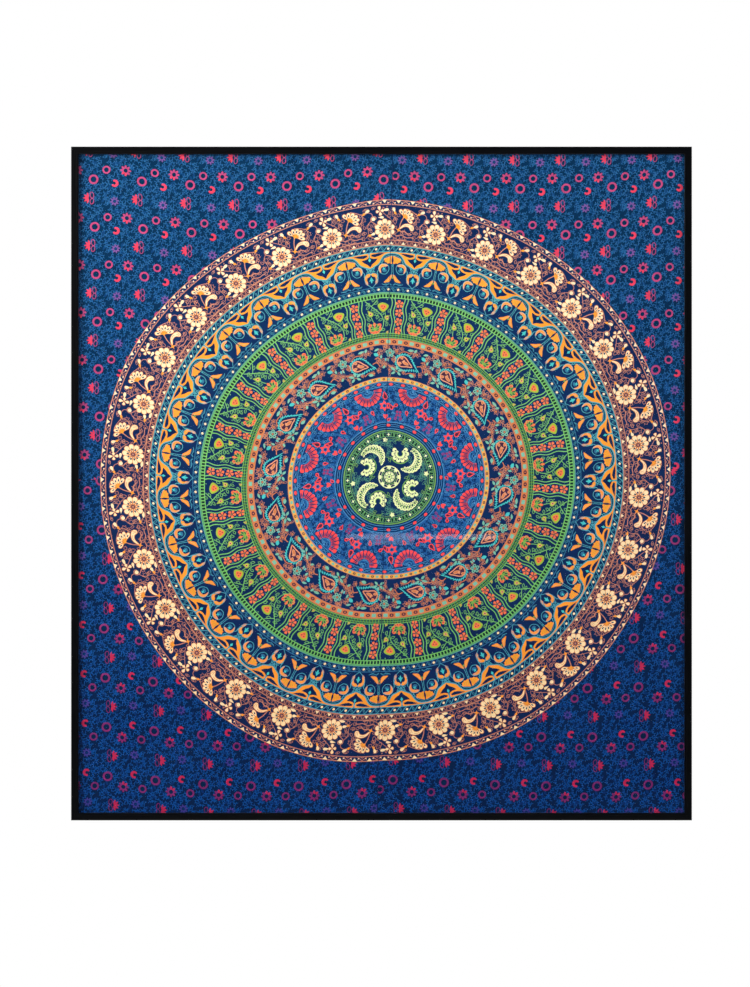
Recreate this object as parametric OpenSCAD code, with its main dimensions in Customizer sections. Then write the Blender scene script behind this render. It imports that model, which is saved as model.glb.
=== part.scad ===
// Framed tapestry wall hanging. A printed cotton cloth, sewn from two loom widths, is
// turned over a board and timber strainer, and sits behind acrylic glazing in a slim
// mitred frame. The frame hangs on a two-part aluminium cleat.
// X runs across, Z is up, the front faces -Y and the wall is the plane Y = 0.
// The origin is the middle of the wall cleat's row of screw holes, on the wall.

/* [Cloth] */
// Width that the cloth was cut to
cloth_w = 2134; // [1900:1:2200]
// Height that the cloth was cut to
cloth_h = 2336; // [2100:1:2400]
// Thickness of the cotton
cloth_t = 0.8; // [0.5:0.1:1]
// Hem stapled behind each side of the strainer
hem_side = 25; // [20:1:30]
// Hem stapled behind the top and bottom of the strainer
hem_end = 38; // [30:1:42]
// Where the centre seam leaves the top edge, from the middle
seam_top_x = 38; // [-40:1:45]
// Where the centre seam leaves the bottom edge, from the middle
seam_bottom_x = -15; // [-45:1:45]

/* [Frame] */
// Width of the frame's front face
face_w = 24; // [22:1:32]
// Width of the frame's side wall, behind the lip
wall_w = 15; // [14:1:18]
// Thickness of the lip in front of the glazing
lip_t = 5; // [4:0.5:7]
// Gap between the frame's rebate and what sits in it
fit_gap = 2; // [1:0.5:3]
// Bevel on the frame's outer front edge
outer_bevel = 2; // [1:0.5:3]

/* [Layers behind the lip] */
// Acrylic sheet
glazing_t = 4; // [3:0.5:6]
// Depth of the spacers that keep the cloth off the acrylic
spacer_d = 6; // [5:0.5:9]
// Width of the spacers
spacer_w = 6; // [5:0.5:7]
// Mount board that the cloth lies on
board_t = 5; // [3:0.5:6]
// Thickness of the strainer's timber
strainer_t = 21.6; // [20:0.1:24]
// Width of the strainer's rails and crossbars
strainer_w = 45; // [40:1:60]
// Width of the strainer's top rail, which carries the cleat
top_rail_w = 102; // [100:1:120]
// Hardboard back
backing_t = 3; // [3:0.5:4]
// Crown of the staples between hem and backing
staple_t = 0.8; // [0.6:0.1:1]

/* [Hanging] */
// Space between the frame's back and the wall
standoff = 8; // [8:0.5:10]
// Length of both cleats
cleat_l = 1800; // [1700:10:1850]
// Height of the frame's top edge above the wall screws
top_z = 79; // [79:0.5:80]
// Screw holes in the wall cleat
wall_holes = 4; // [2:1:4]
// Distance between the wall cleat's screw holes
wall_hole_gap = 540; // [300:10:560]
// Radius of the wall cleat's screw holes
wall_hole_r = 2.75; // [2:0.05:3]

/* [Hidden] */
$fn = 32;

// The cloth's cut size less its turned edges and hems is the stretched panel
turned = board_t + strainer_t + cloth_t;
panel_w = cloth_w - 2 * (turned + hem_side);
panel_h = cloth_h - 2 * (turned + hem_end);
outer_w = panel_w + 2 * (wall_w + fit_gap);
outer_h = panel_h + 2 * (wall_w + fit_gap);
mid_z = top_z - outer_h / 2;

// Depths of each layer's front, from the frame's front face
glazing_u = lip_t;
spacer_u = glazing_u + glazing_t;
cloth_u = spacer_u + spacer_d;
board_u = cloth_u + cloth_t;
strainer_u = board_u + board_t;
hem_u = strainer_u + strainer_t;
staple_u = hem_u + cloth_t;
backing_u = staple_u + staple_t;
frame_d = backing_u + backing_t;
front_y = -(standoff + frame_d);
back_y = -standoff;

// Distances inwards from the frame's outer edge
panel_in = wall_w + fit_gap;
wood_in = panel_in + cloth_t;
strip_in = panel_in + 2;
strip_h = 92;
backing_top_in = strip_in + strip_h + 0.5;

// Sides, as [length of the frame's side, turn about Y, strainer rail's width]
TOP = 0;
RIGHT = 1;
BOTTOM = 2;
LEFT = 3;
side_len = [outer_w, outer_h, outer_w, outer_h];
side_rail_w = [top_rail_w, strainer_w, strainer_w, strainer_w];

// Fasteners
panel_screw_at = [-800, -350, 350, 800];
panel_screw_bite = 11;
panel_screw_grip = 16;
screw_gap = 0.05;
staple_pitch = 120;
staple_crown = 12;
staple_wire = 1.3;
staple_leg = 6;
plate_leg = 75;
plate_w = 13;
plate_t = 1.6;
plate_edge = 1;
plate_screw_at = [22, 62];
strip_screw_x = [-950, -700, -420, -140, 140, 420, 700, 950];
strip_screw_z = -10;
cleat_screw_gap = 280;
cleat_screws = 7;
cleat_screw_z = 47;

// Turn buttons lie 0.3 off what they cover, and their pivots stand at these places
button_at = [-700, 0, 700];
button_reach = 22;
button_r = 6;
button_t = 1.6;
button_gap = 0.3;
pivot_r = 1.9;
pivot_clear = 0.1;
button_tab = 2.5;
edge_pivot_in = 7.5;
top_pivot_in = 103;
pivot_in = [top_pivot_in, edge_pivot_in, edge_pivot_in, edge_pivot_in];

// Cleat section, [away from its mounting plane, towards its free leg]
cleat_t = 3;
cleat_seat = 24.7;
cleat_end = 39.7;
cleat_section = [
  [0, 0], [0, cleat_seat], [4.5, cleat_seat], [4.5, cleat_end],
  [7.5, cleat_end], [7.5, cleat_seat - 0.7], [cleat_t, 19.5], [cleat_t, 0]
];
frame_cleat_top = 56;
wall_cleat_bottom = -8.7;

bumper_r = 6;

// Puts a child, drawn for the top edge at the origin, on one of the four sides.
// There x runs along the side, z = 0 is the frame's outer edge and -z is inwards.
module on_side(side) {
  out = side == TOP || side == BOTTOM ? outer_h / 2 : outer_w / 2;
  translate([0, 0, mid_z])
    rotate([0, 90 * side, 0])
      translate([0, 0, out])
        children();
}

// A box given by its low and high corners
module block(low, high) {
  translate(low) cube(high - low);
}

// A round bar along +Y from a depth behind the frame's front
module bar_y(r, from_u, to_u) {
  translate([0, front_y + to_u, 0])
    rotate([90, 0, 0])
      cylinder(r = r, h = to_u - from_u);
}

// ---- Frame ----

// Section of the moulding, [inwards from the outer edge, depth from the front]
module rail_section() {
  lip_chamfer = 1.5;
  polygon([
    [0, outer_bevel], [outer_bevel, 0], [face_w - lip_chamfer, 0],
    [face_w, lip_chamfer], [face_w, lip_t], [wall_w, lip_t],
    [wall_w, frame_d], [0, frame_d]
  ]);
}

module frame_rail(side) {
  long = side_len[side];
  color("#0b0c10")
    difference() {
      on_side(side)
        intersection() {
          translate([-long / 2, front_y, 0])
            rotate([0, 90, 0])
              linear_extrude(long)
                rail_section();
          translate([0, front_y - 1, 0])
            rotate([-90, 0, 0])
              linear_extrude(frame_d + 2)
                polygon([
                  [-long / 2, 0], [long / 2, 0],
                  [long / 2 - face_w - 1, face_w + 1], [-long / 2 + face_w + 1, face_w + 1]
                ]);
        }
      side_panel_screws(side, screw_gap);
      if (side != TOP) side_pivots(side, pivot_r + screw_gap, frame_d - 12, frame_d + 1);
      side_plate_screw_holes(side, screw_gap);
    }
}

// Where the corner plates' screws stand on one side, both ends
module at_plate_screws(side) {
  on_side(side)
    for (end = [-1, 1], d = plate_screw_at)
      translate([end * (side_len[side] / 2 - d), 0, -plate_edge - plate_w / 2])
        children();
}

module side_plate_screw_holes(side, gap) {
  at_plate_screws(side) bar_y(1.5 + gap, frame_d - 11, frame_d + 1);
}

// Steel angle across a mitre, drawn at the top left corner
module corner_plate(x_side, z_side) {
  color("#a9abad")
    difference() {
      translate([0, 0, mid_z])
        mirror([x_side > 0 ? 1 : 0, 0, 0])
          mirror([0, 0, z_side < 0 ? 1 : 0])
            translate([-outer_w / 2 + plate_edge, back_y + plate_t, outer_h / 2 - plate_edge])
              rotate([90, 0, 0])
                linear_extrude(plate_t)
                  difference() {
                    translate([0, -plate_leg]) square(plate_leg);
                    translate([plate_w, -plate_leg - 1]) square([plate_leg, plate_leg - plate_w + 1]);
                  }
      for (side = [TOP, RIGHT, BOTTOM, LEFT])
        at_plate_screws(side) bar_y(1.6, frame_d - 1, frame_d + 5);
    }
}

module corner_plate_top_left() { corner_plate(-1, 1); }
module corner_plate_top_right() { corner_plate(1, 1); }
module corner_plate_bottom_left() { corner_plate(-1, -1); }
module corner_plate_bottom_right() { corner_plate(1, -1); }

module corner_plate_screws() {
  color("#8f9193")
    for (side = [TOP, RIGHT, BOTTOM, LEFT])
      at_plate_screws(side) {
        bar_y(1.5, frame_d - 10, frame_d + plate_t);
        bar_y(3, frame_d + plate_t, frame_d + plate_t + 1.3);
      }
}

// ---- Glazing, spacers and board ----

// A flat sheet across the frame, inset from the outer edge and with its front at a depth
module sheet(inset, from_u, thick) {
  block(
    [-outer_w / 2 + inset, front_y + from_u, mid_z - outer_h / 2 + inset],
    [outer_w / 2 - inset, front_y + from_u + thick, mid_z + outer_h / 2 - inset]
  );
}

module glazing() {
  color([0.85, 0.92, 0.95, 0.3]) sheet(panel_in, glazing_u, glazing_t);
}

// The top and bottom spacers run right across, and the side ones stand between them
module spacer(side) {
  shorter = side == LEFT || side == RIGHT ? spacer_w : 0;
  half = side_len[side] / 2 - panel_in - shorter;
  color("#111216")
    on_side(side)
      block([-half, front_y + spacer_u, -panel_in - spacer_w], [half, front_y + cloth_u, -panel_in]);
}

module mount_board() {
  color("#ece8dd") sheet(wood_in, board_u, board_t);
}

// ---- Cloth ----

// The whole cloth: front, turned edges and the hems behind the strainer
module cloth_tray() {
  difference() {
    sheet(panel_in, cloth_u, staple_u - cloth_u);
    sheet(wood_in, board_u, hem_u - board_u);
    block(
      [-outer_w / 2 + panel_in + hem_side, front_y + hem_u - 1, mid_z - outer_h / 2 + panel_in + hem_end],
      [outer_w / 2 - panel_in - hem_side, front_y + staple_u + 1, mid_z + outer_h / 2 - panel_in - hem_end]
    );
    for (side = [TOP, RIGHT, BOTTOM, LEFT]) side_panel_screws(side, screw_gap);
    frame_cleat_screw_bars(2 + screw_gap);
    strip_screw_bars(1.75 + screw_gap);
  }
}

// The part of the wall plane between two lines that run beside the seam
module beside_seam(from_x, to_x) {
  top = mid_z + outer_h / 2;
  bottom = mid_z - outer_h / 2;
  translate([0, back_y, 0])
    rotate([90, 0, 0])
      linear_extrude(frame_d)
        polygon([
          [seam_bottom_x + from_x, bottom], [seam_bottom_x + to_x, bottom],
          [seam_top_x + to_x, top], [seam_top_x + from_x, top]
        ]);
}

seam_half = 0.6;

module cloth_left() {
  color("#0a3566")
    intersection() {
      cloth_tray();
      beside_seam(-outer_w, -seam_half);
    }
}

module cloth_right() {
  color("#0c3a6c")
    intersection() {
      cloth_tray();
      beside_seam(seam_half, outer_w);
    }
}

// The folded welt where the two loom widths are sewn together
module centre_seam() {
  color("#061c3d")
    intersection() {
      union() {
        cloth_tray();
        sheet(panel_in, cloth_u - 0.3, 0.6);
      }
      beside_seam(-seam_half, seam_half);
    }
}

// Wire staples through the hem, a row along each side
module cloth_staples() {
  color("#9a9c9e")
    for (side = [TOP, RIGHT, BOTTOM, LEFT]) {
      count = floor((side_len[side] - 2 * wood_in - 2 * staple_pitch / 2) / staple_pitch / 2);
      on_side(side)
        for (k = [-count : count - 1])
          translate([(k + 0.5) * staple_pitch, 0, -panel_in - 16])
            staple();
    }
}

module staple() {
  half = staple_crown / 2;
  block([-half, front_y + staple_u, 0], [half, front_y + backing_u, staple_wire]);
  for (x = [-half, half - staple_t])
    block([x, front_y + hem_u - staple_leg, 0], [x + staple_t, front_y + staple_u, staple_wire]);
}

// ---- Strainer ----

// Screws that hold the stretched panel in the frame, from the strainer's inner edges
module side_panel_screws(side, gap) {
  grip_end = -wood_in - panel_screw_grip;
  on_side(side)
    for (x = panel_screw_at)
      translate([x, front_y + strainer_u + strainer_t / 2, 0]) {
        translate([0, 0, grip_end])
          cylinder(r = 2 + gap, h = panel_screw_grip + wood_in - wall_w + panel_screw_bite + gap);
        if (gap > 0)
          translate([0, 0, -wood_in - side_rail_w[side] - 1])
            cylinder(r = 4.5, h = side_rail_w[side] - panel_screw_grip + 1);
        else
          translate([0, 0, grip_end - 3]) cylinder(r = 4, h = 3);
      }
}

module panel_screws() {
  color("#c9b26a")
    for (side = [TOP, RIGHT, BOTTOM, LEFT]) side_panel_screws(side, 0);
}

module strainer_rail(side) {
  half = side_len[side] / 2 - wood_in;
  cut_low = side == LEFT || side == RIGHT ? strainer_w : 0;
  cut_top = side == LEFT || side == RIGHT ? top_rail_w : 0;
  top_end = side == RIGHT ? -1 : 1;
  from_x = -half + (top_end < 0 ? cut_top : cut_low);
  to_x = half - (top_end < 0 ? cut_low : cut_top);
  color("#d9bf94")
    difference() {
      on_side(side)
        block([from_x, front_y + strainer_u, -wood_in - side_rail_w[side]], [to_x, front_y + hem_u, -wood_in]);
      side_panel_screws(side, screw_gap);
      if (side == TOP) {
        frame_cleat_screw_bars(2 + screw_gap);
        strip_screw_bars(1.75 + screw_gap);
        side_pivots(TOP, pivot_r + screw_gap, frame_d - 12, frame_d + 1);
      }
    }
}

inner_top = top_z - wood_in - top_rail_w;
inner_bottom = top_z - outer_h + wood_in + strainer_w;
inner_x = outer_w / 2 - wood_in - strainer_w;

// The bar half way up, and the two uprights that meet it
module crossbar(from_x, to_x, from_z, to_z) {
  color("#d3b88b")
    block([from_x, front_y + strainer_u, from_z], [to_x, front_y + hem_u, to_z]);
}

bar_half = strainer_w / 2;
module crossbar_middle() { crossbar(-inner_x, inner_x, mid_z - bar_half, mid_z + bar_half); }
module crossbar_upper() { crossbar(-bar_half, bar_half, mid_z + bar_half, inner_top); }
module crossbar_lower() { crossbar(-bar_half, bar_half, inner_bottom, mid_z - bar_half); }

// ---- Back ----

// Plywood strip under the cleat, level with the backing board
module packing_strip() {
  half = outer_w / 2 - strip_in;
  color("#c8a876")
    difference() {
      block([-half, front_y + backing_u, top_z - strip_in - strip_h], [half, back_y, top_z - strip_in]);
      frame_cleat_screw_bars(2 + screw_gap);
      strip_screw_bars(1.75 + screw_gap);
      side_pivots(TOP, pivot_r + screw_gap, backing_u - 1, frame_d + 1);
    }
}

module strip_screw_bars(r) {
  for (x = strip_screw_x)
    translate([x, 0, strip_screw_z]) bar_y(r, frame_d - 16, frame_d + 0.5);
}

module packing_strip_screws() {
  color("#8f9193")
    for (x = strip_screw_x)
      translate([x, 0, strip_screw_z]) {
        bar_y(1.75, frame_d - 15, frame_d);
        bar_y(3.5, frame_d, frame_d + 1.4);
      }
}

module backing_board() {
  half = outer_w / 2 - panel_in;
  color("#8a6a48")
    block(
      [-half, front_y + backing_u, top_z - outer_h + panel_in],
      [half, back_y, top_z - backing_top_in]
    );
}

// ---- Turn buttons ----

// Round bars at the turn buttons' pivots on one side
module side_pivots(side, r, from_u, to_u) {
  on_side(side)
    for (x = button_at)
      translate([x, 0, -pivot_in[side]]) bar_y(r, from_u, to_u);
}

// A flat pivoting catch. It points inwards over the backing board's edge.
module turn_button(side, k) {
  color("#c2a24c")
    on_side(side)
      translate([button_at[k], back_y + button_gap, -pivot_in[side]])
        rotate([-90, 0, 0]) {
          linear_extrude(button_t)
            difference() {
              union() {
                circle(button_r);
                translate([0, button_reach]) circle(button_r);
                translate([-button_r, 0]) square([2 * button_r, button_reach]);
              }
              circle(pivot_r + pivot_clear);
            }
          translate([-4, button_reach + 2, button_t]) cube([8, 1.4, button_tab]);
        }
}

module turn_button_top_1() { turn_button(TOP, 0); }
module turn_button_top_2() { turn_button(TOP, 1); }
module turn_button_top_3() { turn_button(TOP, 2); }
module turn_button_right_1() { turn_button(RIGHT, 0); }
module turn_button_right_2() { turn_button(RIGHT, 1); }
module turn_button_right_3() { turn_button(RIGHT, 2); }
module turn_button_bottom_1() { turn_button(BOTTOM, 0); }
module turn_button_bottom_2() { turn_button(BOTTOM, 1); }
module turn_button_bottom_3() { turn_button(BOTTOM, 2); }
module turn_button_left_1() { turn_button(LEFT, 0); }
module turn_button_left_2() { turn_button(LEFT, 1); }
module turn_button_left_3() { turn_button(LEFT, 2); }

// A pivot screw's head clears its button by the same gap as the button clears the back
module turn_button_screws() {
  head_u = frame_d + 2 * button_gap + button_t;
  color("#8f9193")
    for (side = [TOP, RIGHT, BOTTOM, LEFT]) {
      side_pivots(side, pivot_r, frame_d - 11, head_u);
      side_pivots(side, 3.8, head_u, head_u + 2);
    }
}

// ---- Cleats and bumpers ----

module frame_cleat_screw_bars(r) {
  for (k = [0 : cleat_screws - 1])
    translate([(k - (cleat_screws - 1) / 2) * cleat_screw_gap, 0, cleat_screw_z])
      bar_y(r, frame_d - 22, frame_d + 8);
}

// The downward hook, on the packing strip
module frame_cleat() {
  color("#b9bcc0")
    difference() {
      translate([-cleat_l / 2, back_y, frame_cleat_top])
        rotate([0, 90, 0])
          linear_extrude(cleat_l)
            polygon([for (p = cleat_section) [p[1], p[0]]]);
      frame_cleat_screw_bars(2.1);
    }
}

module frame_cleat_screws() {
  color("#8f9193")
    for (k = [0 : cleat_screws - 1])
      translate([(k - (cleat_screws - 1) / 2) * cleat_screw_gap, 0, cleat_screw_z]) {
        bar_y(2, frame_d - 21, frame_d + cleat_t);
        bar_y(4, frame_d + cleat_t, frame_d + cleat_t + 2.4);
      }
}

// The upward hook, screwed to the wall
module wall_cleat() {
  color("#b4b7bb")
    difference() {
      translate([cleat_l / 2, 0, wall_cleat_bottom])
        rotate([0, -90, 0])
          linear_extrude(cleat_l)
            polygon([for (p = cleat_section) [p[1], -p[0]]]);
      for (k = [0 : wall_holes - 1])
        translate([(k - (wall_holes - 1) / 2) * wall_hole_gap, 1, 0])
          rotate([90, 0, 0])
            cylinder(r = wall_hole_r, h = 12);
    }
}

// Rubber stud that keeps the frame upright against the wall
module bumper(side, along) {
  color("#26272a")
    on_side(side)
      translate([along, 0, -edge_pivot_in])
        rotate([90, 0, 0])
          cylinder(r = bumper_r, h = standoff);
}

bumper_low_x = 900;
bumper_mid_z = 300;
module bumper_left_low() { bumper(BOTTOM, bumper_low_x); }
module bumper_right_low() { bumper(BOTTOM, -bumper_low_x); }
module bumper_left_mid() { bumper(LEFT, bumper_mid_z); }
module bumper_right_mid() { bumper(RIGHT, -bumper_mid_z); }

module frame_rail_top() { frame_rail(TOP); }
module frame_rail_bottom() { frame_rail(BOTTOM); }
module frame_rail_left() { frame_rail(LEFT); }
module frame_rail_right() { frame_rail(RIGHT); }
module spacer_top() { spacer(TOP); }
module spacer_bottom() { spacer(BOTTOM); }
module spacer_left() { spacer(LEFT); }
module spacer_right() { spacer(RIGHT); }
module strainer_top() { strainer_rail(TOP); }
module strainer_bottom() { strainer_rail(BOTTOM); }
module strainer_left() { strainer_rail(LEFT); }
module strainer_right() { strainer_rail(RIGHT); }

frame_rail_top();
frame_rail_bottom();
frame_rail_left();
frame_rail_right();
corner_plate_top_left();
corner_plate_top_right();
corner_plate_bottom_left();
corner_plate_bottom_right();
corner_plate_screws();
glazing();
spacer_top();
spacer_bottom();
spacer_left();
spacer_right();
cloth_left();
cloth_right();
centre_seam();
cloth_staples();
mount_board();
strainer_top();
strainer_bottom();
strainer_left();
strainer_right();
crossbar_middle();
crossbar_upper();
crossbar_lower();
panel_screws();
packing_strip();
packing_strip_screws();
backing_board();
turn_button_top_1();
turn_button_top_2();
turn_button_top_3();
turn_button_bottom_1();
turn_button_bottom_2();
turn_button_bottom_3();
turn_button_left_1();
turn_button_left_2();
turn_button_left_3();
turn_button_right_1();
turn_button_right_2();
turn_button_right_3();
turn_button_screws();
frame_cleat();
frame_cleat_screws();
wall_cleat();
bumper_left_low();
bumper_right_low();
bumper_left_mid();
bumper_right_mid();
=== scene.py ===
# Framed tapestry wall hanging: the looks. Sizes in this file are millimetres unless a name says otherwise.
import math
import random

import bmesh
import bpy
import numpy as np
from mathutils import Matrix, Vector


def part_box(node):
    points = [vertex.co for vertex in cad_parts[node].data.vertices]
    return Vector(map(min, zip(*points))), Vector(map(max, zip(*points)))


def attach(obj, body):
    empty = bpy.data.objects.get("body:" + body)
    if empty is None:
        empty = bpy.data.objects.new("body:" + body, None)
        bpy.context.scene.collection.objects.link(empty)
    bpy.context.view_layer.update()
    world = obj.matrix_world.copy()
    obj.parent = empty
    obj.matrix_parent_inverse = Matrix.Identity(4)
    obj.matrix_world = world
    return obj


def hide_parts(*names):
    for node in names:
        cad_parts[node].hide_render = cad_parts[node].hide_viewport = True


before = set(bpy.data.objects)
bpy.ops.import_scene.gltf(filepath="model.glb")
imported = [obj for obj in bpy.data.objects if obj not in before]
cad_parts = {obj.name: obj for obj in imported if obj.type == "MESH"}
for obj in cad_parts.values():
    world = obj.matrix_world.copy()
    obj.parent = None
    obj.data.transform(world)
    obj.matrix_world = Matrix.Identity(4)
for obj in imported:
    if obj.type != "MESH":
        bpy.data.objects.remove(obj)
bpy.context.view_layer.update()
print("frame loaded:", len(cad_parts), "nodes")

mm = 0.001
# the cloth, its width and length before it is hemmed
cut = {"thick": 0.8, "hemSide": 25, "hemEnd": 38, "width": 2134, "length": 2336}

# where things are, from the frame
railLow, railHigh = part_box("frame_rail_top")
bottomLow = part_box("frame_rail_bottom")[0]
clothLow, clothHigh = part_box("cloth_left")

middle = Vector(((railLow[0] + railHigh[0]) / 2, railLow[1], (railHigh[2] + bottomLow[2]) / 2))
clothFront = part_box("mount_board")[0][1] - cut["thick"] * mm
panelLeft, panelRight = clothLow[0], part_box("cloth_right")[1][0]
panelBottom, panelTop = clothLow[2], clothHigh[2]


def linear(hexColour):
    # sRGB hex to the linear colour that a shader takes
    parts = [int(hexColour[i:i + 2], 16) / 255 for i in (1, 3, 5)]
    return (*[c / 12.92 if c <= 0.04045 else ((c + 0.055) / 1.055) ** 2.4 for c in parts], 1.0)


def addNode(tree, kind, links=None, **settings):
    # a node with its settings, and links as {input: output socket or plain value}
    node = tree.nodes.new(kind)
    for name, value in settings.items():
        setattr(node, name, value)
    for name, value in (links or {}).items():
        if isinstance(value, bpy.types.NodeSocket):
            tree.links.new(value, node.inputs[name])
        else:
            node.inputs[name].default_value = value
    return node


def newMaterial(name):
    material = bpy.data.materials.new(name)
    material.use_nodes = True
    tree = material.node_tree
    tree.nodes.clear()
    shader = addNode(tree, "ShaderNodeBsdfPrincipled")
    addNode(tree, "ShaderNodeOutputMaterial", {"Surface": shader.outputs[0]})
    place = addNode(tree, "ShaderNodeTexCoord").outputs["Object"]
    return material, tree, shader, place


def mixColours(tree, share, colourA, colourB):
    return addNode(tree, "ShaderNodeMix", {0: share, 6: colourA, 7: colourB}, data_type="RGBA").outputs[2]


def waveScale(pitch):
    # Wave Texture scale whose bands repeat every pitch millimetres
    return 2 * math.pi / 20 / (pitch * mm)


def addBump(tree, shader, height, distance, strength):
    bump = addNode(tree, "ShaderNodeBump",
                   {"Height": height, "Distance": distance * mm, "Strength": strength})
    tree.links.new(bump.outputs[0], shader.inputs["Normal"])


def speckle(tree, place, size, detail=4.0, stretch=None, roughness=0.55):
    if stretch:
        place = addNode(tree, "ShaderNodeMapping", {"Vector": place, "Scale": stretch}).outputs[0]
    return addNode(tree, "ShaderNodeTexNoise", {"Vector": place, "Scale": 1 / (size * mm), "Detail": detail,
                                                "Roughness": roughness}).outputs["Fac"]


def spread(tree, value, low, high, fromLow=0.3, fromHigh=0.7):
    return addNode(tree, "ShaderNodeMapRange", {"Value": value, "From Min": fromLow, "From Max": fromHigh,
                                                "To Min": low, "To Max": high}).outputs[0]


weave = {
    "pitch": 1.1,        # real threads are about 0.5 mm apart, drawn coarser so that they show close up
    "relief": 0.12,
    "slub": 34,          # length of the thicker places in the yarn
    "cloud": 190,        # size of the patches where the dye took unevenly
    "uneven": 0.16,      # how much darker the slubs are
}


def wovenCotton(name, hexColour, foot, threadGapShade=0.2):
    # Plain-weave cotton, pigment pressed through a screen: matt, a little uneven, with painted shade
    # darkening the valleys between threads
    material, tree, shader, place = newMaterial(name)
    flat = addNode(tree, "ShaderNodeMapping", {"Vector": place, "Scale": (1, 0, 1)}).outputs[0]
    warp, weft = [addNode(tree, "ShaderNodeTexWave", {"Vector": flat, "Scale": waveScale(weave["pitch"])},
                          bands_direction=lay).outputs["Fac"] for lay in "XZ"]
    over = addNode(tree, "ShaderNodeTexChecker",
                   {"Vector": flat, "Scale": 1 / (weave["pitch"] * mm)}).outputs["Fac"]
    thread = addNode(tree, "ShaderNodeMix", {0: over, 2: warp, 3: weft}).outputs[0]
    slub = speckle(tree, flat, weave["slub"], 3.0, None, 0.5)
    cloudy = speckle(tree, flat, weave["cloud"], 5.0, None, 0.6)
    full = linear(hexColour)
    gapShadeAndSlub = (*[c * 0.6 for c in full[:3]], 1)
    worn = (*[min(1, c * 1.2 + 0.003) for c in full[:3]], 1)
    colour = full
    # painted light and shade: the colour blends from lighter at the top of the cloth to darker towards its
    # foot
    if foot:
        height = addNode(tree, "ShaderNodeSeparateXYZ", {"Vector": place}).outputs["Z"]
        low = addNode(tree, "ShaderNodeMapRange",
                      {"Value": height, "From Min": panelTop, "From Max": panelBottom},
                      interpolation_type="SMOOTHSTEP").outputs[0]
        colour = mixColours(tree, low, full, linear(foot))
        gapShadeAndSlub = mixColours(tree, 0.62, colour, (0, 0, 0, 1))
        worn = mixColours(tree, 0.012, colour, (0.1, 0.35, 0.6, 1))
    # painted shade: the colour is darkened in the valleys between the threads
    colour = mixColours(tree, spread(tree, thread, threadGapShade, 0.0, 0.0, 1.0), colour, gapShadeAndSlub)
    colour = mixColours(tree, spread(tree, cloudy, 0.0, 1.0, 0.35, 0.68), colour, worn)
    # the slubs are darker in tone, using the same dark colour as the painted shade between threads
    colour = mixColours(tree, spread(tree, slub, 0.0, weave["uneven"], 0.4, 0.7), colour, gapShadeAndSlub)
    tree.links.new(colour, shader.inputs["Base Color"])
    shader.inputs["Roughness"].default_value = 0.86
    shader.inputs["Specular IOR Level"].default_value = 0.04
    addBump(tree, shader, thread, weave["relief"], 0.6)
    return material


# drawing in millimetres: a cell holds one flat bmesh for each ink, x to the right and y up or outwards
press = {
    "layer": 0.05,       # each printed layer stands this far in front of the one below
    "shape": 0.0032,     # and each shape this far in front of the shape before it
    "shapes": 11,        # until this many have been drawn, when it starts again
    "point": 0.0015,     # a stroke steps forward from point to point, so one that doubles back
    "points": 8,         # does not meet itself in one plane
}


def toward(at, turn, distance):
    return at[0] + distance * math.cos(math.radians(turn)), at[1] + distance * math.sin(math.radians(turn))


def smooth(points, closed=True, steps=3):
    # a soft curve through all the points
    count, curve = len(points), []
    for i in range(count if closed else count - 1):
        a, b, c, d = [points[(i + k) % count] if closed else points[min(max(i + k, 0), count - 1)]
                      for k in (-1, 0, 1, 2)]
        for s in range(steps):
            t = s / steps
            curve.append(tuple(b[k] + 0.5 * t * (c[k] - a[k] + t * (2 * a[k] - 5 * b[k] + 4 * c[k] - d[k]
                               + t * (3 * (b[k] - c[k]) + d[k] - a[k]))) for k in (0, 1)))
    return curve if closed else curve + [tuple(points[-1])]


def shaped(profile, at, turn, length, width, bend=0.0):
    # profile pairs run from base to tip: share of the length, share of half the width
    ca, sa = math.cos(math.radians(turn)), math.sin(math.radians(turn))
    both = list(profile) + [(t, -w) for t, w in reversed(profile) if w]
    placed = []
    for t, w in both:
        along, side = t * length, w * width / 2 + bend * 4 * t * (1 - t)
        placed.append((at[0] + along * ca - side * sa, at[1] + along * sa + side * ca))
    return placed


def leaf(at, turn, length, width, bend=0.0):
    return shaped(((0, 0), (0.22, 0.75), (0.5, 1), (0.78, 0.62), (1, 0)), at, turn, length, width, bend)


def drop(at, turn, length, width):
    return shaped(((0, 0), (0.3, 0.45), (0.6, 0.95), (0.8, 0.97), (0.95, 0.6), (1, 0)), at, turn, length,
                  width)


def oval(at, long, wide=None, turn=0, sides=10):
    wide = wide or long
    ca, sa = math.cos(math.radians(turn)), math.sin(math.radians(turn))
    around = [(long * math.cos(2 * math.pi * i / sides), wide * math.sin(2 * math.pi * i / sides))
              for i in range(sides)]
    return [(at[0] + x * ca - y * sa, at[1] + x * sa + y * ca) for x, y in around]


def arc(at, radius, start, end, sides=8, wide=None):
    wide = wide or radius
    turns = [math.radians(start + (end - start) * i / sides) for i in range(sides + 1)]
    return [(at[0] + radius * math.cos(a), at[1] + wide * math.sin(a)) for a in turns]


def star(at, outer, inner, points, turn=90):
    return [toward(at, turn + 180 * i / points, inner if i % 2 else outer) for i in range(2 * points)]


def screenOf(cell, ink):
    if ink not in cell:
        cell[ink] = bmesh.new()
    return cell[ink]


drawn = [0]      # shapes drawn so far


def heightOf(layer):
    # shapes that share a layer still get heights of their own, so that no two faces coincide
    drawn[0] += 1
    return -layer * press["layer"] - press["shape"] * (drawn[0] % press["shapes"])


def fill(cell, ink, layer, points):
    screen, height = screenOf(cell, ink), heightOf(layer)
    turning = sum(a[0] * b[1] - b[0] * a[1] for a, b in zip(points, points[1:] + points[:1]))
    ordered = points if turning > 0 else points[::-1]
    screen.faces.new([screen.verts.new((x, height, y)) for x, y in ordered])


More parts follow.
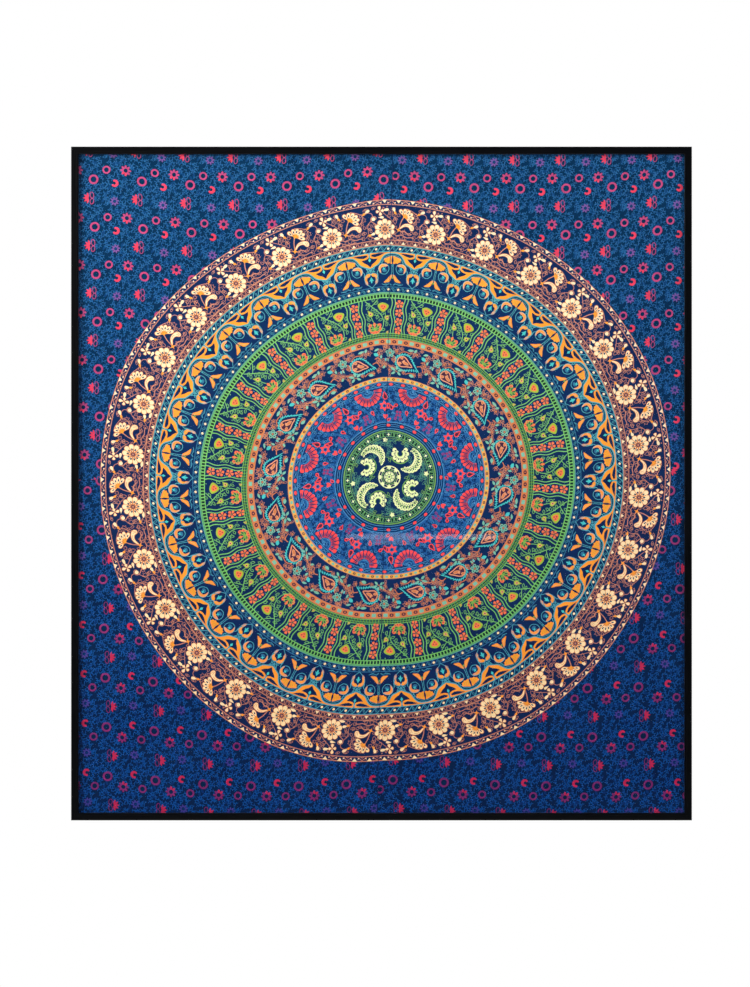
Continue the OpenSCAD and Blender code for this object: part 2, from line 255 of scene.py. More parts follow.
def stroke(cell, ink, layer, points, width, closed=False, taper=0.0):
    screen, height, last = screenOf(cell, ink), heightOf(layer), len(points) - 1
    sides = []
    for i, point in enumerate(points):
        before = points[i - 1] if i or closed else point
        after = points[(i + 1) % len(points)] if i < last or closed else point
        dx, dy = after[0] - before[0], after[1] - before[1]
        long = math.hypot(dx, dy) or 1
        half = width / 2 * (1 - taper * abs(2 * i / last - 1) ** 2)
        step = height - press["point"] * (i % press["points"])
        sides.append([screen.verts.new((point[0] - k * dy / long * half, step,
            point[1] + k * dx / long * half))
                      for k in (-1, 1)])
    for (rightA, leftA), (rightB, leftB) in zip(sides, sides[1:] + (sides[:1] if closed else [])):
        screen.faces.new((rightA, rightB, leftB, leftA))


def outlined(cell, ink, layer, points, width=2.0, inside=None):
    # a leaf drawn as a line, with a second ink inside where one is given
    if inside:
        fill(cell, inside, layer, points)
    stroke(cell, ink, layer + 1, points, width, closed=True)


def petals(cell, ink, layer, at, count, inner, outer, width, turn=90):
    for i in range(count):
        angle = turn + 360 * i / count
        fill(cell, ink, layer, drop(toward(at, angle, inner), angle, outer - inner, width))


def mirrored(side, points):
    # as given on the right, or its reflection on the left
    return [(side * a, b) for a, b in points]


def lobed(at, turn, size):
    # the ragged little vine leaf that fills the gaps
    reach = ((0, 0.9), (28, 0.55), (55, 1.0), (85, 0.5), (118, 0.85), (150, 0.45), (180, 0.6),
             (210, 0.45), (242, 0.85), (275, 0.5), (305, 1.0), (332, 0.55))
    return [toward(at, turn + a, r * size) for a, r in reach]


mandala, field = {}, {}     # ink name: bmesh holding everything printed in it
rim = 935                   # radius of the widest ring


def cutUp(screen):
    # triangles that all look out of the cloth
    screen.normal_update()
    bmesh.ops.triangulate(screen, faces=screen.faces[:], ngon_method="EAR_CLIP")
    screen.normal_update()
    bmesh.ops.reverse_faces(screen, faces=[f for f in screen.faces if f.normal.y > 0])


def stencilOf(screen):
    cutUp(screen)
    stencil = bpy.data.meshes.new("stencil")
    screen.to_mesh(stencil)
    screen.free()
    return stencil


def addTo(store, cell, matrices=(Matrix.Identity(4),)):
    for ink, screen in cell.items():
        stencil = stencilOf(screen)
        for matrix in matrices:
            copy = stencil.copy()
            copy.transform(matrix)
            screenOf(store, ink).from_mesh(copy)
            bpy.data.meshes.remove(copy)
        bpy.data.meshes.remove(stencil)


def ringOf(cell, count, radius, phase=0.0, base=0.0):
    # bends a straight cell round the ring, x along it at the given radius, and repeats it
    for screen in cell.values():
        cutUp(screen)
        for v in screen.verts:
            angle, out = v.co.x / radius + math.radians(phase), v.co.z + base
            v.co.x, v.co.z = out * math.sin(angle), out * math.cos(angle)
        if count > 1:
            bmesh.ops.spin(screen, geom=screen.verts[:] + screen.edges[:] + screen.faces[:], cent=(0, 0, 0),
                           axis=(0, 1, 0), dvec=(0, 0, 0), angle=2 * math.pi * (count - 1) / count,
                           steps=count - 1, use_duplicate=True)
    addTo(mandala, cell)


def band(ink, layer, inner, outer, sides=240):
    # a plain printed ring
    screen = bmesh.new()
    ends = [screen.verts.new((0, -layer * press["layer"], r)) for r in (inner, outer)]
    edge = screen.edges.new(ends)
    bmesh.ops.spin(screen, geom=ends + [edge], cent=(0, 0, 0), axis=(0, 1, 0), dvec=(0, 0, 0),
                   angle=2 * math.pi, steps=sides, use_merge=True)
    if screen.faces and sum(f.normal.y for f in screen.faces) > 0:
        bmesh.ops.reverse_faces(screen, faces=screen.faces[:])
    addTo(mandala, {ink: screen})


def disc(ink, layer, radius, sides=240):
    screen = bmesh.new()
    bmesh.ops.create_circle(screen, cap_ends=True, radius=radius, segments=sides)
    bmesh.ops.rotate(screen, verts=screen.verts[:], cent=(0, 0, 0), matrix=Matrix.Rotation(math.pi / 2, 3,
        "X"))
    bmesh.ops.translate(screen, verts=screen.verts[:], vec=(0, -layer * press["layer"], 0))
    addTo(mandala, {ink: screen})


rosette = {"petals": 10, "reach": 35, "eye": 9.5, "seed": 17}


def drawFlowerBorder():
    # widest ring: cream rosettes between sprays of buds and curled leaves, on navy
    cell, line, fine = {}, "pinkBrown", 1.8
    x, y = 0, 36.7
    petals(cell, "orangeBrown", 7, (x, y), rosette["petals"], 5, rosette["reach"] + 0.8, 18.5)
    petals(cell, "cream", 8, (x, y), rosette["petals"], 8, rosette["reach"] - 0.6, 15.2)
    for i in range(rosette["petals"]):
        angle = 90 + 36 * i
        fill(cell, "orangeBrown", 9, leaf(toward((x, y), angle + 18, 9), angle + 18, 15, 2.2))
        fill(cell, "navyDark", 10, oval(toward((x, y), angle, rosette["seed"]), 4.2, 2.7, angle, 8))
    fill(cell, "orangeBrown", 10, oval((x, y), rosette["eye"], sides=14))
    fill(cell, "navyDark", 11, oval((x, y), 6.8, sides=12))
    fill(cell, "pinkBrown", 12, star((x, y), 5.4, 2.6, 8))

    # fan of six petals seen from the side, with its stem
    x, y = 65, 79.8
    for angle, long in ((120, 28), (84, 27), (52, 29), (24, 31), (-2, 33), (-31, 33)):
        fill(cell, "orangeBrown", 7, drop(toward((x, y), angle, 3), angle, long - 1, 14))
        fill(cell, "cream", 8, drop(toward((x, y), angle, 5), angle, long - 4.4, 10.2))
        fill(cell, "navyDark", 9, oval(toward((x, y), angle, long * 0.66), 4.4, 2.1, angle, 8))
        fill(cell, "orange", 9, leaf(toward((x, y), angle, 2), angle, long * 0.4, 3.4))
    fill(cell, "orange", 10, oval((x + 1, y + 1), 5.2, 4.0, 40, 8))
    stroke(cell, line, 7, smooth([(63, 78), (57, 66), (53, 55), (50, 42)], False), 3.0)

    # curled leaf growing from an orange calyx
    curl = smooth([(50, 39), (58, 50), (70, 57.5), (84, 58), (96, 54), (101.5, 46), (99, 37), (91.5, 35),
                   (87, 40),
                   (83, 46), (74, 48.5), (64, 46), (56, 40)], True, 2)
    fill(cell, "cream", 8, curl)
    stroke(cell, "orangeBrown", 9, curl, 1.6, closed=True)
    stroke(cell, "orangeBrown", 9, smooth([(90, 50), (92, 44), (91, 38)], False), 1.5)
    stroke(cell, "orangeBrown", 9, smooth([(84, 52), (76, 54), (66, 51)], False), 1.5)
    stroke(cell, "orangeBrown", 9, smooth([(96, 51), (97, 44), (95, 38)], False), 1.4)
    fill(cell, "orange", 8, star((47.5, 35.5), 9.5, 3.4, 4, 70))
    stroke(cell, line, 7, smooth([(47, 34), (58, 30), (70, 31), (79, 25), (86, 22)], False), 3.4, taper=0.6)

    # cluster of four petals with a side bud and a curl bud
    for angle, long in ((98, 17), (278, 15), (8, 11), (188, 12)):
        fill(cell, "orangeBrown", 7, drop((-15, 97.5), angle, long + 1.4, 11.5))
        fill(cell, "cream", 8, drop(toward((-15, 97.5), angle, 1.5), angle, long - 1.5, 8.6))
    fill(cell, "cream", 8, drop((-8, 99), 12, 22, 9.5))
    fill(cell, "cream", 8, drop((-22, 77), -4, 19, 8.5))
    fill(cell, "cream", 8, oval((-36.5, 73), 6.2, sides=10))
    stroke(cell, line, 8, smooth([(-30, 70), (-28, 76), (-33, 81), (-41, 80), (-45, 73), (-42, 64),
        (-34, 58), (-27, 50)],
                                 False), 2.6)
    stroke(cell, line, 7, smooth([(-44, 68), (-52, 60), (-57, 48), (-56, 34), (-58, 22), (-66, 12)], False),
           fine)
    stroke(cell, line, 7, smooth([(-38, 80), (-42, 92), (-54, 96), (-66, 90)], False), fine)
    for bud, angle, stem in (((-64, 95), 32, (-72, 88)), ((35, 92), 112, (40, 86)),
                             ((-52, 20), 14, (-60, 18))):
        fill(cell, "cream", 8, drop(bud, angle, 19, 9.5))
        fill(cell, "orange", 9, drop(stem, math.degrees(math.atan2(bud[1] - stem[1], bud[0] - stem[0])), 13,
            7.5))
    fill(cell, "cream", 8, leaf((-40, 6.5), -6, 23, 9, 1.2))
    stroke(cell, line, 7, smooth([(-56, 18), (-46, 14), (-38, 8)], False), fine)

    # ragged leaves and scrolling stems in the gaps
    for x, y, turn, size in ((-70, 74, 20, 11), (-54, 50, -30, 12), (-52, 9, 60, 9), (46, 84, 100, 8),
                             (66, 28, 15, 10), (46, 8, 40, 10), (66, 7, -20, 8), (-76, 12, 0, 9),
                             (37, 44, 0, 6)):
        outlined(cell, line, 7, lobed((x, y), turn, size), 1.5)
    for at, turn, long, wide in (((10, 76), 52, 26, 12), ((36, 54), 98, 24, 11), ((77, 24), -8, 17, 8),
                                 ((-62, 30), 195, 17, 8), ((84, 78), -62, 18, 7), ((-44, 36), 150, 14, 6)):
        outlined(cell, line, 7, leaf(at, turn, long, wide), 1.6)
    stroke(cell, line, 7, smooth([(34, 20), (42, 15), (54, 18), (66, 16), (78, 11), (92, 13), (104, 12)],
        False), 2.6)
    stroke(cell, line, 7, smooth([(24, 14), (34, 7), (50, 1.5), (62, 2), (78, 4)], False), 2.0)
    stroke(cell, line, 7, smooth([(28, 62), (21, 70), (12, 78), (4, 84), (-6, 92)], False), fine)
    stroke(cell, line, 7, smooth([(-84, 60), (-78, 66), (-72, 72), (-70, 82), (-72, 90)], False), fine)
    stroke(cell, line, 7, smooth([(72, 108), (84, 104), (96, 98), (106, 92)], False), 2.0)
    for x, y in ((24, 101), (8, 112), (-4, 110), (-34, 110), (88, 96), (-32, 30), (-82, 40), (30, 4),
                 (92, 68), (14, 4)):
        fill(cell, line, 7, oval((x, y), 2.6, 1.7, x * 7, 6))
    for at, turn, long in (((18, 84), 100, 17), ((26, 80), 40, 15), ((32, 66), 70, 14), ((44, 70), 160, 12),
                           ((20, 104), 20, 16),
                           ((4, 100), 150, 14), ((-28, 112), 200, 15), ((-48, 104), 160, 16),
                           ((-68, 104), 10, 14),
                           ((-80, 52), 80, 14), ((-70, 58), 140, 13), ((-66, 42), 110, 13),
                           ((-40, 46), 60, 13),
                           ((-76, 24), 60, 13), ((-46, 28), 100, 12), ((40, 24), 150, 13),
                           ((56, 20), 60, 12), ((88, 24), 30, 13),
                           ((92, 62), 120, 13), ((100, 84), 60, 13), ((80, 100), 160, 12),
                           ((58, 4), 200, 13), ((24, 22), 0, 12)):
        outlined(cell, line, 6, leaf(at, turn, long, 7.4), 1.4)
    ringOf(cell, 30, 857, base=798)


def drawBorderBands():
    # the narrow bands on each side of the flower border
    for inner, outer, ink in ((931.6, 934.4, "pinkBrown"), (916.6, 919, "pinkBrown"),
                              (796.6, 799.4, "pinkBrown"),
                              (780.5, 783.6, "pinkBrown"), (777.6, 780, "teal"), (757.6, 760, "teal")):
        band(ink, 9, inner, outer)
    band("brownBand", 7, 783, 797.4)
    band("navyDark", 5.6, 799, 917)
    cell = {}
    fill(cell, "cream", 10, [(-8, 933), (8, 933), (0.5, 922.6)])
    stroke(cell, "pinkBrown", 8, [(9, 920), (24.2, 930.4), (39.4, 920)], 2.4)
    stroke(cell, "pinkBrown", 8, [(19, 918.5), (24.2, 922.5), (29.4, 918.5)], 2.0)
    for side in (-1, 1):
        fill(cell, "cream", 9, oval((12.2 * side, 924), 3.6, 1.5, -50 * side, 6))
    ringOf(cell, 120, 925)

    cell = {}
    fill(cell, "cream", 10, [(-6.5, 784.4), (6.5, 784.4), (0, 794)])
    for x in (-17, -11.5, 11.5, 17):
        fill(cell, "navyDark", 8, oval((x, 790), 2.0, 3.4, x * 3, 6))
    for side in (-1, 1):
        stroke(cell, "pinkBrown", 9, smooth(mirrored(side, [(7, 786), (11, 794), (16, 792), (14.5, 786.5),
                                             (20.7, 786)]), False, 2), 2.0)
        fill(cell, "navyDark", 8, oval((8.5 * side, 790.5), 1.9, sides=6))
    ringOf(cell, 120, 790, 1.5)

    for count, inner, outer, lean, thick in ((240, 759.5, 778, 11.5, 2.5), (240, 623.5, 640, 9, 2.3)):
        cell, middleR = {}, (inner + outer) / 2
        stroke(cell, "teal" if inner > 700 else "blueGreen", 9,
               smooth([(-lean, inner), (-lean * 0.35, inner + 4), (lean * 0.35, outer - 4), (lean, outer)],
                      False, 2), thick)
        ringOf(cell, count, middleR)
        cell = {}
        fill(cell, "cream", 10, oval((0, middleR), 4.4, 3.8, 30, 8))
        outlined(cell, "teal", 9, oval((middleR * math.pi / 120, middleR), 3.0, 3.6, 0, 8), 1.4, "navyDark")
        ringOf(cell, 120, middleR, 0.75)
    band("blueGreen", 9, 621.6, 624)
    band("blueGreen", 9, 639, 641.6)


def drawArches():
    # thirty pointed arches with orange spandrels, tulips and fans
    cell, gold, edge = {}, "orange", "teal"
    half, top = 73.3, 116.6
    foot = smooth([(0, 112), (14, 110.4), (26, 105), (35.5, 92), (43, 79), (55, 71.5), (half, 63)], False, 3)
    fill(cell, gold, 7, foot + [(half, top), (0, top)])
    fill(cell, gold, 7, mirrored(-1, foot) + [(-half, top), (0, top)])
    for side in (-1, 1):
        stroke(cell, edge, 10, mirrored(side, foot), 3.8)
        stroke(cell, edge, 9, [(side * a * 0.9, b - 6.5) for a, b in foot[:12]], 1.7)
        fill(cell, "navyDark", 8, mirrored(side, ((24, 112.5), (44, 113), (66, 111), (68, 106), (56, 101),
            (44, 103.5))))
        # half of the four-pointed star and of the diamond over it, which its neighbour completes
        sx = half * side
        fill(cell, "navyDark", 8, [(sx, 107), (sx - 4 * side, 100), (sx - 12 * side, 96.5),
            (sx - 26 * side, 95.5), (sx - 18 * side, 86),
                                   (sx - 8 * side, 79), (sx, 68.5)])
        fill(cell, "brightTeal", 9, [(sx, 100), (sx - 4.4 * side, 93), (sx, 86)])
        fill(cell, edge, 9, [(sx, top), (sx - 3.2 * side, top), (sx - 1.4 * side, 108),
                             (sx - 3.6 * side, 104), (sx, 99)])
        # scalloped fan
        scallop = smooth([(1, 79), (6, 76.5), (11, 79), (17, 77), (20, 81.5), (26, 82.5), (25.5, 87),
                          (29, 91), (24, 93.5),
                          (15, 97), (6, 101), (1.5, 102)], True, 2)
        fill(cell, gold, 8, mirrored(side, scallop))
        for vein in ((6, 81, 7, 96), (11, 82, 14, 94), (16, 83, 22, 91)):
            stroke(cell, "leafGreen", 9, [(side * vein[0], vein[1]), (side * vein[2], vein[3])], 2.1,
                   taper=0.6)
        stroke(cell, "peach", 9, mirrored(side, [(29, 92), (16, 98), (3, 103)]), 1.8)
        # tulip buds in the shoulders
        bud = (side * 30, 60)
        stroke(cell, edge, 8, smooth(mirrored(side, ((14, 52), (12, 62), (15, 71), (24, 76), (36, 76),
            (44, 70),
                                          (47, 60), (43, 49), (36, 43), (24, 42))), True, 2), 2.2,
                                          closed=True)
        fill(cell, "peach", 9, smooth(mirrored(side, ((15, 70), (24, 75.5), (36, 75.5), (44, 69),
            (46.5, 59), (42, 48),
                                      (38, 46), (39.5, 55), (37.5, 63), (30, 66.5), (22, 67))), True, 2))
        fill(cell, gold, 10, smooth(mirrored(side, ((24, 72.5), (35, 73), (41, 67), (43.5, 58), (41, 52),
            (40, 60),
                                    (36, 66.5), (28, 69.5))), True, 2))
        fill(cell, "brightTeal", 10, star((bud[0] - side * 1, bud[1]), 7.5, 2.6, 4, 60 if side > 0 else 120))
        fill(cell, "blueGreen", 9, oval((bud[0] - side * 3, 54), 8, 6, 0, 8))
        # leaves at the foot of the stem, and small scrolls
        fill(cell, gold, 9, smooth(mirrored(side, ((1, 40), (8, 38), (17, 27), (31, 14), (21, 14), (11, 16),
            (6, 23))),
                                   True, 2))
        stroke(cell, "peach", 10, mirrored(side, [(4, 34), (12, 25), (22, 17)]), 1.9)
        stroke(cell, "blueGreen", 8, mirrored(side, [(2, 5), (14, 14), (34, 6), (20, 3)]), 2.2)
        stroke(cell, edge, 8, smooth(mirrored(side, [(4, 4), (12, 9), (26, 5), (38, 9)]), False, 2), 1.7)
        stroke(cell, edge, 8, smooth(mirrored(side, [(60, 68), (64, 56), (71, 47), (78, 40)]), False, 2), 2.2)
        stroke(cell, edge, 8, smooth(mirrored(side, [(47, 57), (52, 50), (50, 40), (54, 28),
                                           (60, 20)]), False, 2), 3.0, taper=0.5)
        fill(cell, "peach", 9, leaf((side * 51, 26), -62 if side > 0 else 242, 20, 8))
        stroke(cell, edge, 8, smooth(mirrored(side, [(33, 90), (31, 84), (36, 82), (34, 78)]), False, 2), 2.0)
    fill(cell, "navyDark", 10, leaf((0, 76), 90, 28, 6.6))
    stroke(cell, edge, 9, [(-1.6, 76), (-2.4, 66), (-2.2, 50), (-4.5, 36)], 1.8)
    stroke(cell, edge, 9, [(1.6, 76), (2.4, 66), (2.2, 50), (4.5, 36)], 1.8)
    fill(cell, "leafGreen", 10, oval((0, 30), 2.4, 4.2, 0, 6))
    fill(cell, edge, 10, oval((0, 72), 3.6, 4.4, 0, 8))
    fill(cell, "navyDark", 11, oval((0, 72), 1.6, 2.4, 0, 6))
    ringOf(cell, 30, 700, 1.9, 641.5)

    cell = {}
    for side in (-1, 1):
        crescent = smooth(mirrored(side, ((0.5, 46), (9, 47.5), (18, 42), (21, 32), (18, 22), (12, 17),
            (14.5, 27),
                          (12, 35), (6, 37), (1.5, 41.5))), True, 2)
        fill(cell, gold, 8, crescent)
        fill(cell, "peach", 9, leaf((side * 9, 43), -40 if side > 0 else 220, 15, 4))
        stroke(cell, edge, 9, smooth(mirrored(side, ((0, -1), (10, 8), (19, 18), (22.5, 30), (19, 43),
            (9, 49.5),
                                          (0, 47))), False, 2), 2.0)
        stroke(cell, "brightTeal", 10, [(0, 30), (side * 7, 22)], 2.4)
        stroke(cell, edge, 8, mirrored(side, [(-14, 66), (14, 52)]), 2.2)
    fill(cell, "brightTeal", 9, leaf((0, 14), 90, 21, 7))
    fill(cell, "brightTeal", 10, [(-6.5, 24), (6.5, 24), (0, 36)])
    fill(cell, edge, 9, oval((0, 54), 3.0, sides=8))
    ringOf(cell, 30, 664, 7.9, 641.5)


def drawGreenPanels():
    # ladder band, columns of coral blossoms between wavy rails, and a panel of fruits and a lotus
    band("green", 7, 602, 624)
    band("seaGreen", 8, 617.2, 619.6)
    cell = {}
    for k in (-1, 1):
        fill(cell, "nightGreen", 8, [(k * 5.4 - 3.4, 605), (k * 5.4 + 3.4, 605), (k * 5.4 + 3.4, 615),
            (k * 5.4 - 3.4, 615)])
    ringOf(cell, 180, 613)

    cell, rail = {}, "green"
    for y in (584, 554.5, 524, 494.5):
        petals(cell, "coral", 9, (0, y), 5, 1.5, 13.5, 9.4, 90 + y)
        fill(cell, "navyDark", 10, oval((0, y), 2.6, sides=8))
        fill(cell, "leafGreen", 11, oval((0, y), 1.4, sides=6))
    for y in (570, 540, 509):
        for side in (-1, 1):
            fill(cell, "skyBlue", 9, oval((side * 10, y), 1.5, 2.2, 0, 6))
    for x in (-25.5, -15.5, 14.5, 24.5):
        sway = [(x + 3 * math.sin(t * 1.15 + (0 if x < 0 else 1.4)), 603 - t * 11.8) for t in range(11)]
        stroke(cell, rail, 9, smooth(sway, False, 2), 3.0)
    ringOf(cell, 24, 544, 4.4)

    cell = {}
    lotus = (58, 503)
    for angle, long in ((150, 26), (188, 25), (222, 22), (252, 20), (288, 20), (318, 22), (352, 25),
                        (30, 26)):
        fill(cell, "coral", 8, drop(lotus, angle - 4, long, 14.5))
        fill(cell, "coralRed", 9, leaf(toward(lotus, angle - 4, 12), angle - 4, long - 13, 3.8))
    for angle, long in ((150, 21), (118, 21), (64, 21), (30, 21), (185, 15), (-5, 15)):
        outlined(cell, "leafGreen", 10, leaf((lotus[0], lotus[1] - 4), angle, long, 8.5), 2.2, "navyDark")
    fill(cell, "coral", 12, drop((lotus[0], lotus[1]), 92, 20, 8.5))
    fill(cell, "leafGreen", 12, oval((lotus[0], lotus[1] - 3), 8, 3.2, 0, 8))

    fig = smooth([(74, 582), (88, 588), (103, 583), (109, 575), (101, 563), (90, 555), (80, 562),
                  (75, 572)], True, 2)
    fill(cell, "yellowGreen", 9, fig)
    fill(cell, "coral", 10, smooth([(80, 578), (89, 582), (98, 579), (102, 573), (96, 565), (90, 561),
        (84, 566), (81, 572)],
                                   True, 2))
    for at in ((87, 575), (95, 573), (90, 567)):
        fill(cell, "brown", 11, oval(at, 1.9, sides=6))
    for at, turn, long, wide in (((112, 546), 225, 22, 18), ((107, 494), 240, 13, 11),
            ((40, 568), -60, 27, 17)):
        fill(cell, "yellowGreen", 9, drop(at, turn, long, wide))
        fill(cell, "peach", 10, drop(toward(at, turn, long * 0.3), turn, long * 0.52, wide * 0.55))
        fill(cell, "brown", 11, oval(toward(at, turn, long * 0.62), wide * 0.16, wide * 0.1, turn, 6))
    stroke(cell, rail, 8, smooth([(36, 600), (47, 586), (60, 572), (75, 556), (86, 540), (90, 524),
        (88, 508), (80, 494),
                                  (68, 488)], False, 2), 2.6)
    stroke(cell, rail, 8, smooth([(76, 600), (68, 592), (60, 584), (52, 578)], False, 2), 2.2)
    stroke(cell, rail, 8, smooth([(96, 556), (97, 546), (96, 536)], False, 2), 2.0)
    stroke(cell, rail, 8, smooth([(49, 543), (52, 532), (56, 524)], False, 2), 2.4)
    for at, turn in (((50, 590), 200), ((48, 580), 215), ((58, 594), 60), ((64, 584), 35), ((62, 572), 215),
                     ((70, 566), 220),
                     ((74, 552), 200), ((80, 548), 10), ((86, 532), 200), ((46, 532), 150), ((66, 534), 60),
                     ((40, 540), 100),
                     ((112, 566), 250), ((36, 512), 90), ((100, 520), 110), ((98, 508), 60),
                     ((94, 498), 200), ((38, 496), 60)):
        outlined(cell, rail, 8, leaf(at, turn, 14, 7.2), 1.8)
    for x, y in ((76, 540), (100, 532), (40, 524), (112, 512), (34, 556), (104, 598), (60, 488), (44, 488)):
        fill(cell, rail, 8, oval((x, y), 2.1, 1.5, x * 9, 6))
    ringOf(cell, 24, 544, 4.4)

    band("nightGreen", 7, 466.5, 485)
    for inner, outer in ((483, 485), (476.8, 478), (468, 470.2)):
        band("green", 9, inner, outer)
    cell = {}
    stroke(cell, "leafGreen", 8, [(-2.6, 469), (-2.6, 484)], 1.8)
    stroke(cell, "seaGreen", 8, [(2.6, 469), (2.6, 484)], 1.6)
    ringOf(cell, 288, 476)


def drawBeadBand(count, inner, outer, ground, bead):
    # squares and dark eyes by turns on a warm band
    cell, centre, half = {}, (inner + outer) / 2, (outer - inner) / 2
    pitch = 2 * math.pi * centre / count
    band(ground, 7, inner, outer)
    size = min(half * 0.52, pitch * 0.17)
    fill(cell, bead, 9, [(-size * 1.25, centre - size), (size * 1.25, centre - size),
                         (size * 1.25, centre + size),
                         (-size * 1.25, centre + size)])
    for side in (-1, 1):   # half an eye on each side, completed by the neighbour
        eye = arc((side * pitch / 2, centre), size * 1.3, 90, 90 + 180 * side, 5, size)
        fill(cell, "brown", 9, eye)
        fill(cell, ground, 10, arc((side * pitch / 2, centre), size * 0.45, 90, 90 + 180 * side, 4,
            size * 0.42))
    for y in (inner + 1, outer - 1):
        band("pinkBrown", 10, y - 0.85, y + 0.85)
    ringOf(cell, count, centre, 0.6)


def drawPaisleys():
    cell, line = {}, "pinkBrown"
    head, lean = (-14, 391), -20
    body = shaped(((0, 0), (0.06, 0.5), (0.2, 0.88), (0.36, 1.0), (0.52, 0.84), (0.7, 0.48), (0.86, 0.18),
                   (1, 0)),
                  toward(head, lean + 180, 27), lean, 89, 56)
    body = smooth(body, True, 4)
    centre = toward(head, lean, 6)
    flame = [toward(centre, math.degrees(math.atan2(b - centre[1], a - centre[0])) + (-2.5 if i % 2 else 2.5),
                    math.hypot(a - centre[0], b - centre[1]) * (1.16 if i % 2 else 0.98)) for i,
                    (a, b) in enumerate(body)]
    fill(cell, "brightTeal", 8, flame)
    inner = [(centre[0] + (a - centre[0]) * 0.84, centre[1] + (b - centre[1]) * 0.82) for a, b in flame]
    fill(cell, "navyDark", 9, inner)
    seed = drop(toward(head, lean, 36), lean + 180, 55, 34)
    outlined(cell, "peach", 10, smooth(seed, True, 2), 3.6, "brown")
    for at, turn, long, wide in ((toward(head, lean, 22), lean + 180, 26, 9),
            (toward(head, lean + 120, 9), lean + 150, 13, 8),
                                 (toward(head, lean - 110, 7), lean + 200, 13, 8),
                                 (toward(head, lean, 2), lean + 90, 8, 6)):
        outlined(cell, "peach", 12, leaf(at, turn, long, wide), 1.8, "orangeBrown")

    flower = (-58, 418)
    for i in range(5):
        outlined(cell, "tealPale", 9, oval(toward(flower, 90 + 72 * i, 9.3), 5, sides=9), 1.4, "tealPale")
        fill(cell, "navyDark", 11, oval(toward(flower, 90 + 72 * i, 9.3), 2.3, sides=6))
    fill(cell, "orangeBrown", 11, oval(flower, 3.2, sides=8))

    sprig = (-34, 357)
    for angle, long in ((150, 22), (205, 19), (20, 20), (325, 17), (85, 15)):
        fill(cell, "tealPale", 9, leaf(toward(sprig, angle, 4), angle, long, 8.6))
    stroke(cell, "orangeBrown", 9, smooth([(-46, 368), (-36, 358), (-24, 352)], False, 2), 2.2)
    for at, turn, long, wide, ink in (((44, 420), -35, 19, 12, "brightTeal"),
            ((-4, 432), 8, 21, 8.5, "tealPale"),
                                      ((18, 428), 62, 14, 8, "tealPale"),
                                      ((62, 434), 205, 17, 7.5, "tealPale"),
                                      ((14, 352), -12, 21, 11, "tealPale"),
                                      ((66, 398), 80, 15, 7, "tealPale"),
                                      ((-64, 388), 100, 14, 6, "tealPale"),
                                      ((70, 366), 40, 15, 8, "tealPale"),
                                      ((-72, 402), 260, 12, 6, "brightTeal")):
        fill(cell, ink, 9, leaf(at, turn, long, wide))
    for x, y, turn, size in ((-36, 424, 10, 11.5), (28, 424, 50, 12.5), (62, 414, 0, 12), (-48, 396, 30, 9),
                             (58, 392, 70, 12),
                             (70, 376, 10, 10), (54, 360, 20, 11), (-8, 356, 45, 9), (32, 354, 0, 9.5),
                             (-60, 362, 30, 10),
                             (-74, 376, 0, 8), (8, 430, 25, 8), (-66, 438, 0, 8), (-22, 434, 30, 8.5),
                             (40, 438, 60, 7)):
        outlined(cell, line, 7, lobed((x, y), turn, size), 1.7)
        fill(cell, "orangeBrown", 9, star((x, y), size * 0.52, size * 0.2, 5, turn))
    luck = random.Random(11)
    for k in range(46):
        x, y, turn = luck.uniform(-77, 77), luck.uniform(344, 438), luck.uniform(0, 360)
        inBody = ((x - 2) / 58) ** 2 + ((y + (x + 14) * 0.34 - 392) / 38) ** 2 < 1
        if inBody or math.hypot(x + 58, y - 418) < 19 or math.hypot(x + 34, y - 357) < 16:
            continue
        outlined(cell, line, 6, leaf((x, y), turn, 12, 7), 1.4)
        outlined(cell, line, 6, leaf((x, y), turn + 130, 10, 6), 1.3)
        fill(cell, "orangeBrown", 8, oval((x, y), 2.4, 1.6, turn, 6))
    for path in ([(-76, 384), (-66, 376), (-54, 372), (-44, 366)], [(46, 400), (54, 404), (60, 400),
            (66, 390)],
                 [(-30, 414), (-20, 424), (-8, 426), (6, 422)], [(36, 384), (48, 388), (56, 382), (62, 370)],
                 [(0, 350), (10, 356), (24, 358), (40, 352)], [(-48, 410), (-42, 404), (-40, 394),
                     (-46, 386)]):
        stroke(cell, "orangeBrown", 8, smooth(path, False, 2), 2.6)
    ringOf(cell, 16, 394, 9.8)


